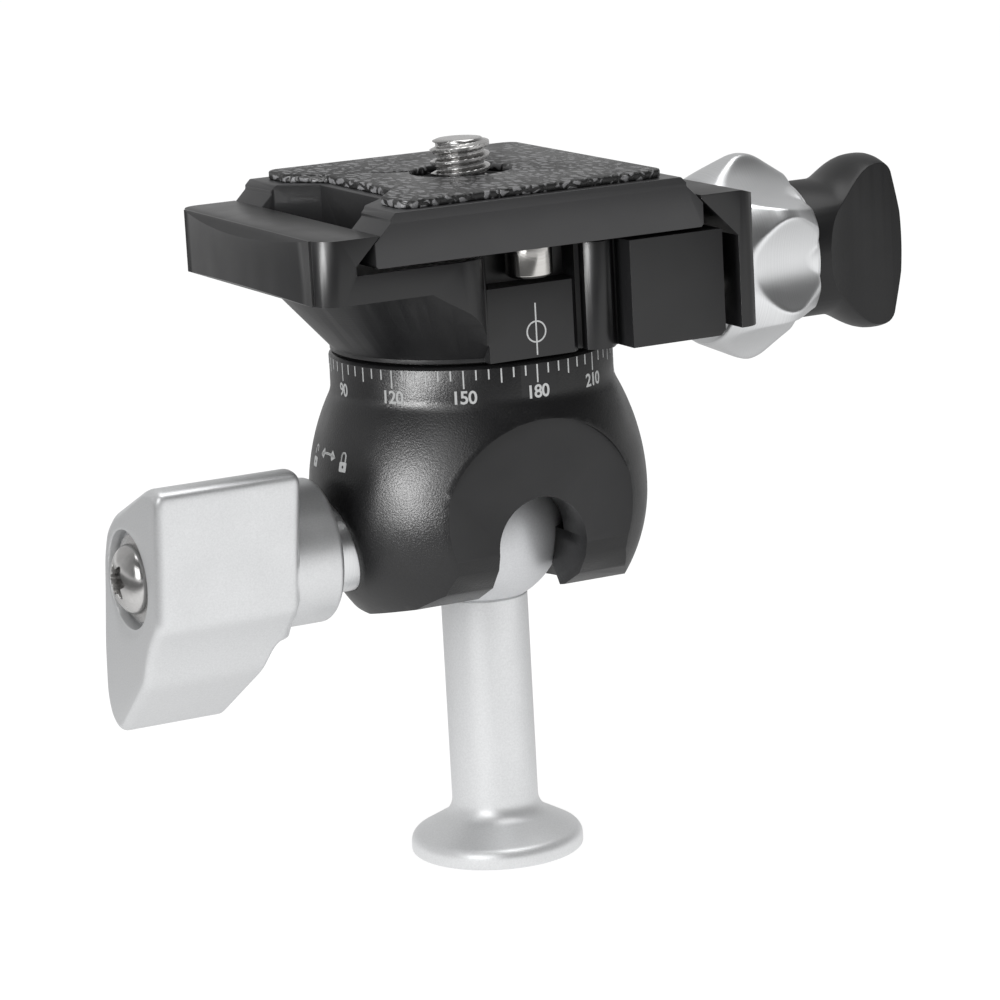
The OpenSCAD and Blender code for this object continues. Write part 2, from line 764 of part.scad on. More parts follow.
// Coil spring along +X as one swept tube, closed by its two end faces
module coil(length, r, wire, turns, steps = 12, sides = 6) {
    n = turns * steps;
    ring = [for (i = [0 : n]) let (a = 360 * i / steps, x = wire + (length - 2 * wire) * i / n)
        for (j = [0 : sides - 1]) let (b = 360 * j / sides)
            [x + wire * sin(b), (r + wire * cos(b)) * cos(a), (r + wire * cos(b)) * sin(a)]];
    faces = concat([[for (j = [0 : sides - 1]) sides - 1 - j]], [[for (j = [0 : sides - 1]) n * sides + j]],
        [for (i = [0 : n - 1]) for (j = [0 : sides - 1]) let (k = (j + 1) % sides)
            [i * sides + j, i * sides + k, (i + 1) * sides + k]],
        [for (i = [0 : n - 1]) for (j = [0 : sides - 1]) let (k = (j + 1) % sides)
            [i * sides + j, (i + 1) * sides + k, (i + 1) * sides + j]]);
    polyhedron(ring, faces);
}

module jaw_springs() {
    wire = spring_wire / 2;
    color("silver") for (s = [-1, 1]) translate([spring_in + fit, s * pin_y, axis_z])
        coil(jaw_in_x - spring_in - 2 * fit, spring_r - wire - fit, wire, spring_turns);
}

module jaw_washer() {
    x = jaw_crest_x + fit;
    color("white") translate([0, 0, axis_z]) difference() {
        rod(x, x + jaw_washer_t, jaw_screw_r + jaw_washer_w);
        rod(x - over, x + over + jaw_washer_t, jaw_screw_r + jaw_washer_gap);
    }
}

module jaw_screw() {
    color("gray") translate([0, 0, axis_z]) difference() {
        rod(jaw_screw_in, ring_out - ring_well, jaw_screw_r);
        rod(jaw_screw_in - over, ring_out, pan_spindle_r + fit);
    }
}

module jaw_knob() {
    tilt = atan(scoop_slope);
    color("silver") translate([0, 0, axis_z]) difference() {
        turned_x([[ring_in, 0], [ring_in, ring_in_r - edge], [ring_in + edge, ring_in_r],
            [ring_belly - ring_crest, ring_r - ring_crest_drop[0]], [ring_belly, ring_r],
            [ring_belly + ring_crest, ring_r - ring_crest_drop[1]], [ring_out - edge, ring_out_r],
            [ring_out, ring_out_r - edge], [ring_out, 0]]);
        rod(ring_in - over, ring_out - ring_well + over, jaw_screw_r);
        rod(ring_out - ring_well, ring_out + over, ring_well_r);
        for (i = [0 : scoops - 1]) rotate([360 * i / scoops + 90, 0, 0])
            translate([ring_belly, 0, scoop_floor]) rotate([0, tilt, 0]) translate([0, 0, scoop_r])
                rod(-ring_d, ring_d, scoop_r);
    }
}

module pan_brake_plug() {
    color("peru") translate([0, 0, axis_z]) rod(plug_x, plug_x + plug_len, pan_spindle_r);
}

module pan_lock_spindle() {
    color("gray") translate([0, 0, axis_z]) difference() {
        rod(plug_x + plug_len + fit, wing_side_end - over, pan_spindle_r);
        rod(wing_side_end - over - end_screw_len, wing_side_end, end_screw_r + fit);
    }
}

module pan_lock_knob() {
    dome = [for (i = [0 : dome_steps]) let (r = wing_r * wing_dome_share * (dome_steps - i) / dome_steps)
        [wing_end - (wing_dome - wing_round) * pow(r / wing_r, 2), r]];
    start = wing_neck_end - wave_lead;
    wave = [for (i = [0 : wave_steps]) [start + (wing_full - start) * i / wave_steps,
        wing_neck_r + (wing_r - wing_neck_r) * (1 - cos(half_turn * i / wave_steps)) / 2]];
    color([0.06, 0.06, 0.065]) translate([0, 0, axis_z]) difference() {
        turned_x(concat([[wing_in, 0], [wing_in, wing_neck_r]], wave,
            arc(wing_side_end, wing_r - wing_round, wing_round, 90, 20, 5), dome));
        rod(wing_in - over, wing_side_end - over, pan_spindle_r);
        rod(wing_side_end - 2 * over, wing_end + over, end_screw_r + fit);
        rod(wing_end - end_head_h - end_well_gap, wing_end + over, end_head_r + fit);
        for (s = [-1, 1])
            translate([dish_x, s * dish_y, -wing_r - over]) cylinder(r = dish_r, h = wing_d + 2 * over);
    }
}

module knob_end_screw() {
    color("dimgray") translate([0, 0, axis_z]) difference() {
        union() {
            rod(wing_side_end - end_screw_len, wing_end - end_head_h, end_screw_r);
            rod(wing_end - end_head_h - end_head_sink, wing_end - end_head_sink, end_head_r);
        }
        translate([wing_end - end_head_h + end_well_gap, 0, 0]) rotate([0, 90, 0])
            cylinder(r = end_hex_r, h = 2 * over, $fn = hex_sides);
    }
}

// The plate's cross section in (x, z)
function plate_section() =
    let (half = [[plate_r - edge, plate_z], [plate_r, plate_z + edge], [plate_r, plate_z + land_h],
        [plate_r - slant, plate_z + land_h + slant], [plate_r - slant, plate_top - plate_chamfer],
        [plate_r - slant - plate_chamfer, plate_top]])
    concat(half, [for (i = [5 : -1 : 0]) [-half[i][0], half[i][1]]]);

// The strap slot's plan, flared towards the edge
module strap_plan() {
    polygon([[-strap_x, -strap_half], [-strap_x, strap_half], [-strap_flare_x, strap_flare],
        [-plate_r - over, strap_flare], [-plate_r - over, -strap_flare], [-strap_flare_x, -strap_flare]]);
}

module plate() {
    color([0.07, 0.07, 0.075]) difference() {
        profile_y(plate_section(), plate_len);
        // strap slot: open through the middle, with a bar left at the low edge
        translate([0, 0, plate_z - over]) linear_extrude(plate_t + 2 * over) intersection() {
            strap_plan();
            translate([-strap_out_x, -strap_flare]) square([strap_out_x, 2 * strap_flare]);
        }
        translate([0, 0, plate_z + land_h]) linear_extrude(plate_t) strap_plan();
        // camera screw: a hole at the top and a pocket for its flange and ring below
        translate([0, 0, plate_z - over]) cylinder(r = camera_r + camera_gap, h = plate_t + 2 * over);
        translate([0, 0, web_top]) cylinder(r = screw_well_r, h = plate_t);
        translate([0, 0, plate_z - over])
            cylinder(r = screw_flange_r + screw_flange_gap, h = over + flange_pocket);
        translate([0, 0, plate_z - over]) cylinder(r = pocket_r, h = over + pocket_depth);
        translate([0, -stop_pin_y, plate_z - over])
            cylinder(r = stop_shank_r, h = over + stop_shank_len + stop_shank_gap);
    }
}

module rubber_pad() {
    y1 = half_len - rubber_inset;
    color([0.05, 0.05, 0.05]) translate([0, 0, plate_top]) difference() {
        linear_extrude(rubber_t) difference() {
            union() {
                translate([-rubber_x + rubber_corner, -y1]) square([2 * (rubber_x - rubber_corner), 2 * y1]);
                translate([-rubber_x, -y1 + rubber_corner]) square([2 * rubber_x, 2 * (y1 - rubber_corner)]);
                for (sx = [-1, 1], sy = [-1, 1])
                    translate([sx * (rubber_x - rubber_corner), sy * (y1 - rubber_corner)])
                        circle(rubber_corner);
            }
            polygon([[-strap_x + rubber_inset, -strap_half - rubber_notch[0]],
                [-strap_x + rubber_inset, strap_half + rubber_notch[0]],
                [-rubber_x - over, strap_flare + rubber_inset + rubber_notch[1]],
                [-rubber_x - over, -strap_flare - rubber_inset - rubber_notch[1]]]);
        }
        translate([0, 0, -over]) cylinder(r = screw_well_r, h = rubber_t + 2 * over);
    }
}

module stop_pin() {
    low = plate_z - stop_pin_h;
    color("gainsboro") translate([0, -stop_pin_y, 0]) rotate_extrude() polygon([[0, low],
        [stop_pin_r - edge, low], [stop_pin_r, low + edge], [stop_pin_r, plate_z], [stop_shank_r, plate_z],
        [stop_shank_r, plate_z + stop_shank_len], [0, plate_z + stop_shank_len]]);
}

module camera_screw() {
    top = plate_top + rubber_t + camera_screw_h;
    flange = plate_z + screw_flange_rise;
    color("gainsboro") difference() {
        rotate_extrude() polygon([[0, flange], [screw_flange_r, flange],
            [screw_flange_r, flange + screw_flange_t], [waist_r, flange + screw_flange_t],
            [waist_r, waist_end], [camera_r, waist_end], [camera_r, top - camera_chamfer],
            [camera_r - camera_chamfer, top], [0, top]]);
        translate([-screw_slot_w / 2, -screw_flange_r - over, flange - over])
            cube([screw_slot_w, 2 * (screw_flange_r + over), over + screw_slot_depth]);
    }
}

module screw_clip() {
    color("dimgray") translate([0, 0, web_top + fit]) difference() {
        cylinder(r = screw_well_r - clip_gap, h = clip_t);
        translate([0, 0, -over]) cylinder(r = waist_r + fit, h = clip_t + 2 * over);
    }
}

module screw_d_ring() {
    w = ring_wire / 2;
    z = plate_z + w + fit;
    color("gainsboro") {
        for (s = [-1, 1]) translate([0, s * ring_half, z]) rod(-ring_reach + ring_half, 0, w);
        translate([0, ring_half, z]) rotate([90, 0, 0]) cylinder(r = w, h = 2 * ring_half);
        translate([-ring_reach + ring_half, 0, z]) rotate([0, 0, 90])
            rotate_extrude(angle = half_turn) translate([ring_half, 0]) circle(w);
    }
}

stem();
thread_insert();
ball();
ball_cup();
housing();
pan_hub();
lock_collar();
brake_pad();
lock_spindle();
lock_lever();
lever_washer();
lever_screw();
thrust_washer();
clamp_body();
spring_washer();
pan_retainer();
pan_screw();
clamp_jaw();
guide_pins();
jaw_springs();
jaw_washer();
jaw_screw();
jaw_knob();
pan_brake_plug();
pan_lock_spindle();
pan_lock_knob();
knob_end_screw();
plate();
rubber_pad();
stop_pin();
camera_screw();
screw_clip();
screw_d_ring();
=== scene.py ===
"""A small tripod ball head: a flared silver foot and stem, a black housing that grips the ball, a wing
lever that locks it, and a panning quick release clamp with its plate, ring knob and wing knob.

Sizes are in millimetres in the classes and become metres where a mesh is made. +Z is up, the foot
stands on z 0, and -Y is the front, where the index mark and the drop notch are.
"""

from __future__ import annotations

import json
import logging
import math
from collections.abc import Callable
from dataclasses import dataclass
from enum import Enum

import bmesh
import bpy
import numpy as np
from mathutils import Matrix, Vector

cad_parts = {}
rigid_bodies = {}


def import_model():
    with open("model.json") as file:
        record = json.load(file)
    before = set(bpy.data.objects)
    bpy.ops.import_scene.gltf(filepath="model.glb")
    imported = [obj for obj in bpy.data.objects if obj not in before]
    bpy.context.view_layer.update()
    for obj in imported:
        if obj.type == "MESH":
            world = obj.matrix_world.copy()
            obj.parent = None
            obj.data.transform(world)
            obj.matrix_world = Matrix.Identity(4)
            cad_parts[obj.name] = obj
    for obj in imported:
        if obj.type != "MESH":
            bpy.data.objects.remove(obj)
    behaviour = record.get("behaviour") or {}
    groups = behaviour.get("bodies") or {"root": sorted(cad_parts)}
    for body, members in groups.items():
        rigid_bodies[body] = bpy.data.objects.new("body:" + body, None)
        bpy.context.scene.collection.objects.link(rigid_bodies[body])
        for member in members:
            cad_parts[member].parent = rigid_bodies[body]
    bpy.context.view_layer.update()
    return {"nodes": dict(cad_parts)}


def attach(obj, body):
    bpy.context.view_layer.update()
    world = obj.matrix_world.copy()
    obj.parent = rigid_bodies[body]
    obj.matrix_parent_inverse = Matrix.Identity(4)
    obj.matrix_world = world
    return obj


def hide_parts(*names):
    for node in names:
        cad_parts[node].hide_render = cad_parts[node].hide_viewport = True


MM = 0.001
TURN = 2 * math.pi
# Noise scale of the slow drifts in roughness: 220 clouds to the metre, so each is about 4.5 mm wide.
CLOUDS = 220.0
# The quads of a box whose corners 0 to 3 are its front and 4 to 7 its back.
BOX = [[0, 1, 2, 3], [7, 6, 5, 4], [0, 4, 5, 1], [1, 5, 6, 2], [2, 6, 7, 3], [3, 7, 4, 0]]
LOG = logging.getLogger("ball_head")
Array = np.ndarray
Corners = list[tuple[float, float]]
Node = bpy.types.Node
Nodes = dict[str, bpy.types.Object]
Point = tuple[float, float, float]
Tree = bpy.types.NodeTree


def linear(hex_colour: str) -> tuple[float, float, float, float]:
    """Turns an sRGB hex colour into Blender's linear colour.

    Args:
        hex_colour: six hex digits, such as "c8c9ca".

    Returns:
        Red, green, blue and an alpha of 1.
    """
    parts = (int(hex_colour[i : i + 2], 16) / 255 for i in (0, 2, 4))
    red, green, blue = (c / 12.92 if c <= 0.04045 else ((c + 0.055) / 1.055) ** 2.4 for c in parts)
    return red, green, blue, 1.0


WHITE = linear("ffffff")


def feed(tree: Tree, node: Node, sockets: dict) -> Node:
    """Sets and links a node's inputs.

    Args:
        tree: the node's tree.
        node: the node.
        sockets: input name or number to a value, or to the output, or the node with the first output,
            that feeds it.

    Returns:
        The node.
    """
    for key, value in sockets.items():
        value = value.outputs[0] if isinstance(value, Node) else value
        if isinstance(value, bpy.types.NodeSocket):
            tree.links.new(value, node.inputs[key])
        else:
            node.inputs[key].default_value = value
    return node


def add(tree: Tree, kind: str, sockets: dict | None = None, **settings: object) -> Node:
    """Adds one shader node with its settings, values and links.

    Args:
        tree: the material's or world's node tree.
        kind: Blender's name of the node type, without "ShaderNode".
        sockets: its inputs, as feed takes them.
        settings: the node's own properties.

    Returns:
        The node.
    """
    made = tree.nodes.new("ShaderNode" + kind)
    for key, value in settings.items():
        setattr(made, key, value)
    return feed(tree, made, sockets or {})


def linked(name: str, data: bpy.types.ID) -> bpy.types.Object:
    """Puts a new object with this data into the scene, at the origin."""
    made = bpy.data.objects.new(name, data)
    bpy.context.scene.collection.objects.link(made)
    return made


class Pattern(Enum):
    """How a surface was made, which sets what its small relief follows."""

    BLASTED = "grains in every direction"
    TURNED_Z = "rings about an upright axis"
    TURNED_X = "rings about an axis along X"
    MILLED = "fine parallel lines"
    MOULDED = "a faint even grain"
    PEBBLED = "raised leather-like pebbles"


@dataclass(frozen=True)
class Finish:
    """One real material and how its surface was made.

    metal is 1 for bare metal, a little less under clear anodising, and 0 for dyed anodising, plastic and
    rubber. grain is the size of the relief in mm and relief its height in mm. cloud is the share by which
    the roughness drifts over a few millimetres. The last field is the share by which high parts are
    painted lighter: a painted highlight on the tops of grains and pebbles.
    """

    name: str
    colour: str
    metal: float
    rough: float
    pattern: Pattern
    grain: float
    relief: float
    cloud: float = 0.1
    specular: float = 0.5
    # Share by which high parts are painted lighter: a painted highlight on grain and pebble tops.
    speckle: float = 0.0

    def height(self, tree: Tree) -> Node:
        """Builds the relief's height from Object coordinates.

        Pebbles are the cells of a Voronoi pattern, twice as long as wide and bent by a slower noise. Their
        height climbs from the cells' edges.

        Args:
            tree: the material's node tree.

        Returns:
            The node whose first output is the height, about 0 to 1.
        """
        place = add(tree, "TexCoord").outputs["Object"]
        fine = 1 / (self.grain * MM)
        if self.pattern in (Pattern.TURNED_Z, Pattern.TURNED_X, Pattern.MILLED):
            axes = add(tree, "SeparateXYZ", {0: place}).outputs
            along = axes["X"]
            if self.pattern is Pattern.TURNED_Z:
                flat = add(tree, "CombineXYZ", {"X": axes["X"], "Y": axes["Y"]})
                radius = add(tree, "VectorMath", {0: flat}, operation="LENGTH").outputs["Value"]
                along = add(tree, "Math", {0: radius, 1: axes["Z"]}, operation="ADD")
            lines = {"W": along, "Scale": fine, "Detail": 2.0, "Roughness": 0.7}
            return add(tree, "TexNoise", lines, noise_dimensions="1D")
        if self.pattern is Pattern.PEBBLED:
            drift = add(tree, "TexNoise", {"Vector": place, "Scale": fine * 0.8, "Detail": 1.0}).outputs["Color"]
            longer = add(tree, "VectorMath", {0: place, 1: (1.0, 0.5, 1.0)}, operation="MULTIPLY")
            push = (0.9 * self.grain * MM,) * 3
            bent = add(tree, "VectorMath", {0: drift, 1: push, 2: longer}, operation="MULTIPLY_ADD")
            cells = add(tree, "TexVoronoi", {"Vector": bent, "Scale": fine}, feature="DISTANCE_TO_EDGE")
            return add(tree, "MapRange", {0: cells, 1: 0.05, 2: 0.28}, interpolation_type="SMOOTHSTEP")
        return add(tree, "TexNoise", {"Vector": place, "Scale": fine, "Detail": 2.5, "Roughness": 0.6})

    def material(self) -> bpy.types.Material:
        """Makes the material once and gives the same one after that.

        Returns:
            The material, named for what the real one is.
        """
        known = bpy.data.materials.get(self.name)
        if known:
            return known
        made = bpy.data.materials.new(self.name)
        made.use_nodes = True
        tree = made.node_tree
        place = add(tree, "TexCoord").outputs["Object"]
        clouds = add(tree, "TexNoise", {"Vector": place, "Scale": CLOUDS, "Detail": 3.0})
        height = self.height(tree)
        low, high = self.rough * (1 - self.cloud), self.rough * (1 + self.cloud)
        # Each surface gets a random tone of 6 % from its relief, and its high parts are also painted lighter by the
        # last field: a painted highlight.
        tone_and_glint = 0.06 + self.speckle
        shade = add(tree, "MapRange", {0: height, 1: 0.25, 2: 0.75, 3: 1 - tone_and_glint, 4: 1 + tone_and_glint})
        sockets = {
            "Metallic": self.metal,
            "Roughness": add(tree, "MapRange", {0: clouds, 1: 0.3, 2: 0.7, 3: low, 4: high}),
            "Base Color": add(tree, "VectorMath", {0: linear(self.colour)[:3], "Scale": shade}, operation="SCALE"),
            "Normal": add(tree, "Bump", {"Height": height, "Distance": self.relief * MM, "Strength": 1.0}),
        }
        if not self.metal:
            sockets["Specular IOR Level"] = self.specular
        feed(tree, tree.nodes["Principled BSDF"], sockets)
        return made


# Clear anodised aluminium over fine glass-bead blasting: a soft silver with grains of about 0.1 mm, drawn
# at 0.2 mm so that they show. The ball and the lever are a shade darker than the foot.
SILVER_FOOT = Finish("aluminium_clear_anodised_foot", "e6e7e8", 0.8, 0.45, Pattern.BLASTED, 0.2, 0.006)
SILVER_BALL = Finish("aluminium_clear_anodised_ball", "d6d7d9", 0.75, 0.48, Pattern.BLASTED, 0.2, 0.006)
SILVER_LEVER = Finish("aluminium_clear_anodised_lever", "d6d7d8", 0.85, 0.42, Pattern.BLASTED, 0.2, 0.006)
# The collar and the ring knob are turned, and fine tool rings stretch their highlights.
SILVER_TURNED = Finish("aluminium_clear_anodised_turned", "dbdcdd", 1.0, 0.33, Pattern.TURNED_X, 0.12, 0.004)
# Bare machined alloy is greyer, with sharper rings.
HUB_ALLOY = Finish("aluminium_machined_hub", "b9babb", 1.0, 0.30, Pattern.TURNED_Z, 0.12, 0.004)
# Black dyed anodising over a coarser bead blast: nearly black, with a grainy sheen where it faces light. The grains'
# tops are also painted a little lighter, a painted sparkle.
BLACK_HOUSING = Finish(
    "aluminium_black_anodised_blasted", "0d0d0e", 0.0, 0.34, Pattern.BLASTED, 0.2, 0.03, 0.12, 0.42, 0.25
)
# The round face about the notch is milled after blasting, so it is flatter and duller. Its colour is also painted
# lighter than the housing's, a painted highlight for the light its flat front catches.
BLACK_MILLED_PAINTED_LIGHTER = Finish(
    "aluminium_black_anodised_milled", "19191a", 0.0, 0.5, Pattern.MILLED, 0.15, 0.002, 0.08, 0.42
)
# The clamp is milled and dyed black without blasting: smooth and semi-gloss.
BLACK_CLAMP = Finish(
    "aluminium_black_anodised_clamp", "0f0f10", 0.0, 0.34, Pattern.BLASTED, 0.15, 0.0025, 0.1, 0.45
)
# The clamp's cone is turned, so its dull shine runs in rings.
BLACK_CONE = Finish(
    "aluminium_black_anodised_turned_cone", "0c0c0d", 0.0, 0.33, Pattern.TURNED_Z, 0.25, 0.008, 0.1, 0.25
)
# The plate is a shade greyer than the clamp.
BLACK_PLATE = Finish("aluminium_black_anodised_plate", "2a2a2b", 0.0, 0.36, Pattern.BLASTED, 0.15, 0.003)
# The wing knob's satin black spreads the light wider.
BLACK_KNOB = Finish(
    "aluminium_black_anodised_satin_knob", "121213", 0.0, 0.40, Pattern.BLASTED, 0.18, 0.003, 0.08, 0.38
)
# Black oxide leaves steel a dark warm grey with a dull metal shine.
BLACK_STEEL = Finish("steel_black_oxide", "1d1c1c", 0.6, 0.42, Pattern.BLASTED, 0.3, 0.004)
# Polished stainless steel mirrors the room, and tumbled stainless blurs it a little.
STAINLESS = Finish("stainless_steel_polished", "c4c2bf", 1.0, 0.16, Pattern.TURNED_Z, 0.2, 0.002, 0.2)
STAINLESS_SCREW = Finish("stainless_steel_tumbled", "c2c1c0", 1.0, 0.24, Pattern.BLASTED, 0.6, 0.01, 0.25)
# Turned steel is darker with fine rings, and drawn spring wire darker still.
TURNED_STEEL = Finish("steel_turned", "a9a8a6", 1.0, 0.28, Pattern.TURNED_X, 0.15, 0.004, 0.15)
SPRING_STEEL = Finish("steel_spring_wire", "8f8e8c", 1.0, 0.30, Pattern.BLASTED, 0.2, 0.003, 0.15)
# Acetal is a waxy moulded plastic, natural white where it touches the ball and black under the clamp.
ACETAL = Finish("acetal_natural_moulded", "e4e2da", 0.0, 0.38, Pattern.MOULDED, 0.6, 0.003, 0.1, 0.45)
ACETAL_BLACK = Finish("acetal_black_moulded", "111111", 0.0, 0.4, Pattern.MOULDED, 0.6, 0.003, 0.1, 0.4)
# The pad is a moulded rubber sheet with worm-like pebbles about 1 mm wide and twice as long. The pebbles' tops are
# painted much lighter, a painted highlight for the light they catch.
RUBBER = Finish("rubber_pebbled", "3f3f40", 0.0, 0.40, Pattern.PEBBLED, 1.0, 0.09, 0.1, 0.5, 0.85)
# Turned brass is yellow, with fine rings.
BRASS = Finish("brass_turned", "c9a15a", 1.0, 0.28, Pattern.TURNED_X, 0.15, 0.004, 0.15)
# Marks are laser etched to a matt light grey.
ETCHED = Finish("laser_etched_mark", "b2b3b3", 0.0, 0.6, Pattern.MOULDED, 0.2, 0.001, 0.05, 0.3)


def paint(piece: bpy.types.Object, finish: Finish, choose: Callable[[Array, Array], Array]) -> None:
    """Gives some faces of a piece a second finish.

    Args:
        piece: the piece.
        finish: the second finish.
        choose: gives true or false for each face from its centre in metres and its normal, a row each.
    """
    mesh = piece.data
    mesh.materials.append(finish.material())
    centres, normals = np.zeros((2, len(mesh.polygons) * 3))
    mesh.polygons.foreach_get("center", centres)
    mesh.polygons.foreach_get("normal", normals)
    chosen = choose(centres.reshape(-1, 3), normals.reshape(-1, 3))
    mesh.polygons.foreach_set("material_index", chosen.astype(np.int32))


@dataclass
class Shell:
    """A named piece on its way into the scene.

    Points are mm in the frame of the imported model. Rings are arrays of rings x points x 3, closed round
    each ring.
    """

    name: str
    body: str
    finish: Finish
    replaces: tuple[str, ...] = ()
    slot: str | None = None
    smooth: float = 32.0

    def put(self, points: Array, faces: list) -> bpy.types.Object:
        """Makes the piece from points and faces.

        Args:
            points: vertex places in mm, one row each.
            faces: lists of vertex numbers.

        Returns:
            The object.
        """
        mesh = bpy.data.meshes.new(self.name)
        mesh.from_pydata(np.asarray(points) * MM, [], faces)
        return self.finished(mesh)

    def finished(self, mesh: bpy.types.Mesh) -> bpy.types.Object:
        """Merges a mesh's doubles, turns its faces outwards and makes it this piece.

        Args:
            mesh: the mesh, in metres.

        Returns:
            The object.
        """
        work = bmesh.new()
        work.from_mesh(mesh)
        bmesh.ops.remove_doubles(work, verts=work.verts, dist=1e-6)
        bmesh.ops.recalc_face_normals(work, faces=work.faces)
        work.to_mesh(mesh)
        work.free()
        mesh.shade_smooth()
        mesh.set_sharp_from_angle(angle=math.radians(self.smooth))
        return self.placed(mesh)

    def placed(self, mesh: bpy.types.Mesh) -> bpy.types.Object:
        """Gives a mesh its finish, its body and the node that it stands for.

        Args:
            mesh: the mesh, in metres.

        Returns:
            The object, at the origin, riding on its body.
        """
        piece = linked(self.name, mesh)
        mesh.materials.clear()
        mesh.materials.append(self.finish.material())
        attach(piece, self.body)
        if self.replaces:
            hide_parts(*self.replaces)
        LOG.info("%s: %d faces on %s", self.name, len(mesh.polygons), self.body)
        return piece

    def rings(self, rings: Array, closed: bool = False, caps: bool = False) -> bpy.types.Object:
        """Makes the piece from rings of points.

        The faces are all the quads between neighbouring points i, i+1 of neighbouring rings j, j+1, counted
        round modulo the ring's length.

        Args:
            rings: rings x points x 3, in mm.
            closed: the last ring joins the first.
            caps: the two end rings are filled with one face each.

        Returns:
            The object.
        """
        count, around = rings.shape[:2]
        j = np.arange(count if closed else count - 1)[:, None]
        i = np.arange(around)[None, :]
        here, there = j * around, ((j + 1) % count) * around
        quads = np.stack([here + i, here + (i + 1) % around, there + (i + 1) % around, there + i], -1)
        faces = quads.reshape(-1, 4).tolist()
        if caps:
            faces += [list(range(around)), list(range((count - 1) * around, count * around))]
        return self.put(rings.reshape(-1, 3), faces)


def rounded(corners: Corners, radius: float | list[float], steps: int = 5, loop: bool = False) -> Array:
    """Rounds the corners of a line in a plane.

    Each corner gives way to an arc that touches both its sides: its centre lies on the corner's bisector,
    and its end points lie radius / tan(half the corner's angle) from the corner, at most 0.45 of a side.

    Args:
        corners: the line's corners in mm.
        radius: one radius for all corners, or one for each.
        steps: pieces that each arc has.
        loop: the line closes on itself.

    Returns:
        The points, one row each.
    """
    pts = np.asarray(corners, float)
    count = len(pts)
    radii = np.broadcast_to(np.asarray(radius, float), (count,))
    out = []
    for k, corner in enumerate(pts):
        if not loop and k in (0, count - 1) or radii[k] <= 0:
            out.append(corner[None])
            continue
        before, after = pts[k - 1] - corner, pts[(k + 1) % count] - corner
        len_a, len_b = np.linalg.norm(before), np.linalg.norm(after)
        before, after = before / len_a, after / len_b
        half = math.acos(np.clip(before @ after, -1, 1)) / 2
        if half > math.radians(88):
            out.append(corner[None])
            continue
        reach = min(radii[k] / math.tan(half), 0.45 * len_a, 0.45 * len_b)
        size = reach * math.tan(half)
        middle = before + after
        centre = corner + middle / np.linalg.norm(middle) * size / math.sin(half)
        first, last = corner + before * reach - centre, corner + after * reach - centre
        start = math.atan2(first[1], first[0])
        sweep = (math.atan2(last[1], last[0]) - start + math.pi) % TURN - math.pi
        angle = start + sweep * np.linspace(0, 1, steps + 1)
        out.append(centre + size * np.stack([np.cos(angle), np.sin(angle)], -1))
    return np.concatenate(out)


class Axis(Enum):
    """The direction in which a turned piece's first coordinate runs."""

    X = "x"
    Z = "z"


def turned(profile: Array, axis: Axis = Axis.Z, centre: Point = (0, 0, 0), sides: int = 128) -> Array:
    """Spins a profile about an axis.

    A point (a, r) of the profile becomes the ring a along the axis and r (cos t, sin t) across it, for t
    once round.

    Args:
        profile: rows of place along the axis and radius, in mm.
        axis: the axis to spin about.
        centre: a point of the axis, from which the first coordinate counts.
        sides: points in a ring.

    Returns:
        Rings x sides x 3 points in mm.
    """
    t = np.arange(sides) / sides * TURN
    along = np.repeat(profile[:, :1], sides, 1)
    across = profile[:, 1:, None] * np.stack([np.cos(t), np.sin(t)])[None]
    if axis is Axis.Z:
        points = np.stack([across[:, 0], across[:, 1], along], -1)
    else:
        points = np.stack([along, across[:, 0], across[:, 1]], -1)
    return points + np.asarray(centre, float)


def ring_profile(start: float, end: float, inner: float, outer: float, edge: float) -> Array:
    """The closed profile of a washer from start to end along its axis, with edges of radius edge."""
    line = rounded([(start, inner), (start, outer), (end, outer), (end, inner)], edge, 3, loop=True)
    return np.concatenate([line, line[:1]])


def solid_profile(start: float, end: float, radius: float, edge: float) -> Array:
    """The profile, from pole to pole, of a pin from start to end along its axis, with edges of radius edge."""
    return rounded([(start, 0), (start, radius), (end, radius), (end, 0)], edge, 4)


def spread(line: Array | list, sides: int) -> Array:
    """Repeats each point of a profile once for each side of a ring."""
    return np.repeat(np.asarray(line, float)[:, None], sides, 1)


def smooth_min(a: Array, b: Array, width: float) -> Array:
    """The lower of two values, with the corner where they cross rounded over width.

    It is min(a, b) less width * h * h / 4, where h is how near the two are, from 0 at width apart to 1.
    """
    near = np.clip(1 - np.abs(a - b) / width, 0, 1)
    return np.minimum(a, b) - near * near * width / 4


def smooth_max(a: Array, b: Array, width: float) -> Array:
    """The higher of two values, with the corner where they cross filled over width."""
    return -smooth_min(-a, -b, width)


@dataclass(frozen=True)
class Thread:
    """A single-start screw thread cut into a rod or a bore."""

    crest: float
    root: float
    pitch: float

    def rings(self, places: Array, keep: Array, plain: Array, sides: int = 72) -> Array:
        """A threaded surface about +Z.

        The thread's radius follows a flattened triangle wave of (height / pitch - turn), so it climbs one
        pitch each turn. Each ring mixes the plain radius and the thread's radius by keep.

        Args:
            places: heights of the rings in mm.
            keep: the share of the thread at each ring, 0 to 1.
            plain: the radius where there is no thread.
            sides: points in a ring.

        Returns:
            Rings x sides x 3 points in mm.
        """
        turn = np.arange(sides) / sides
        along = spread(places, sides)
        phase = np.mod(along / self.pitch - turn, 1.0)
        cut = self.root + (self.crest - self.root) * np.clip(2.3 * np.abs(phase - 0.5) * 2 - 0.65, 0, 1)
        radius = cut * keep[:, None] + plain[:, None] * (1 - keep[:, None])
        return np.stack([radius * np.cos(turn * TURN), radius * np.sin(turn * TURN), along], -1)


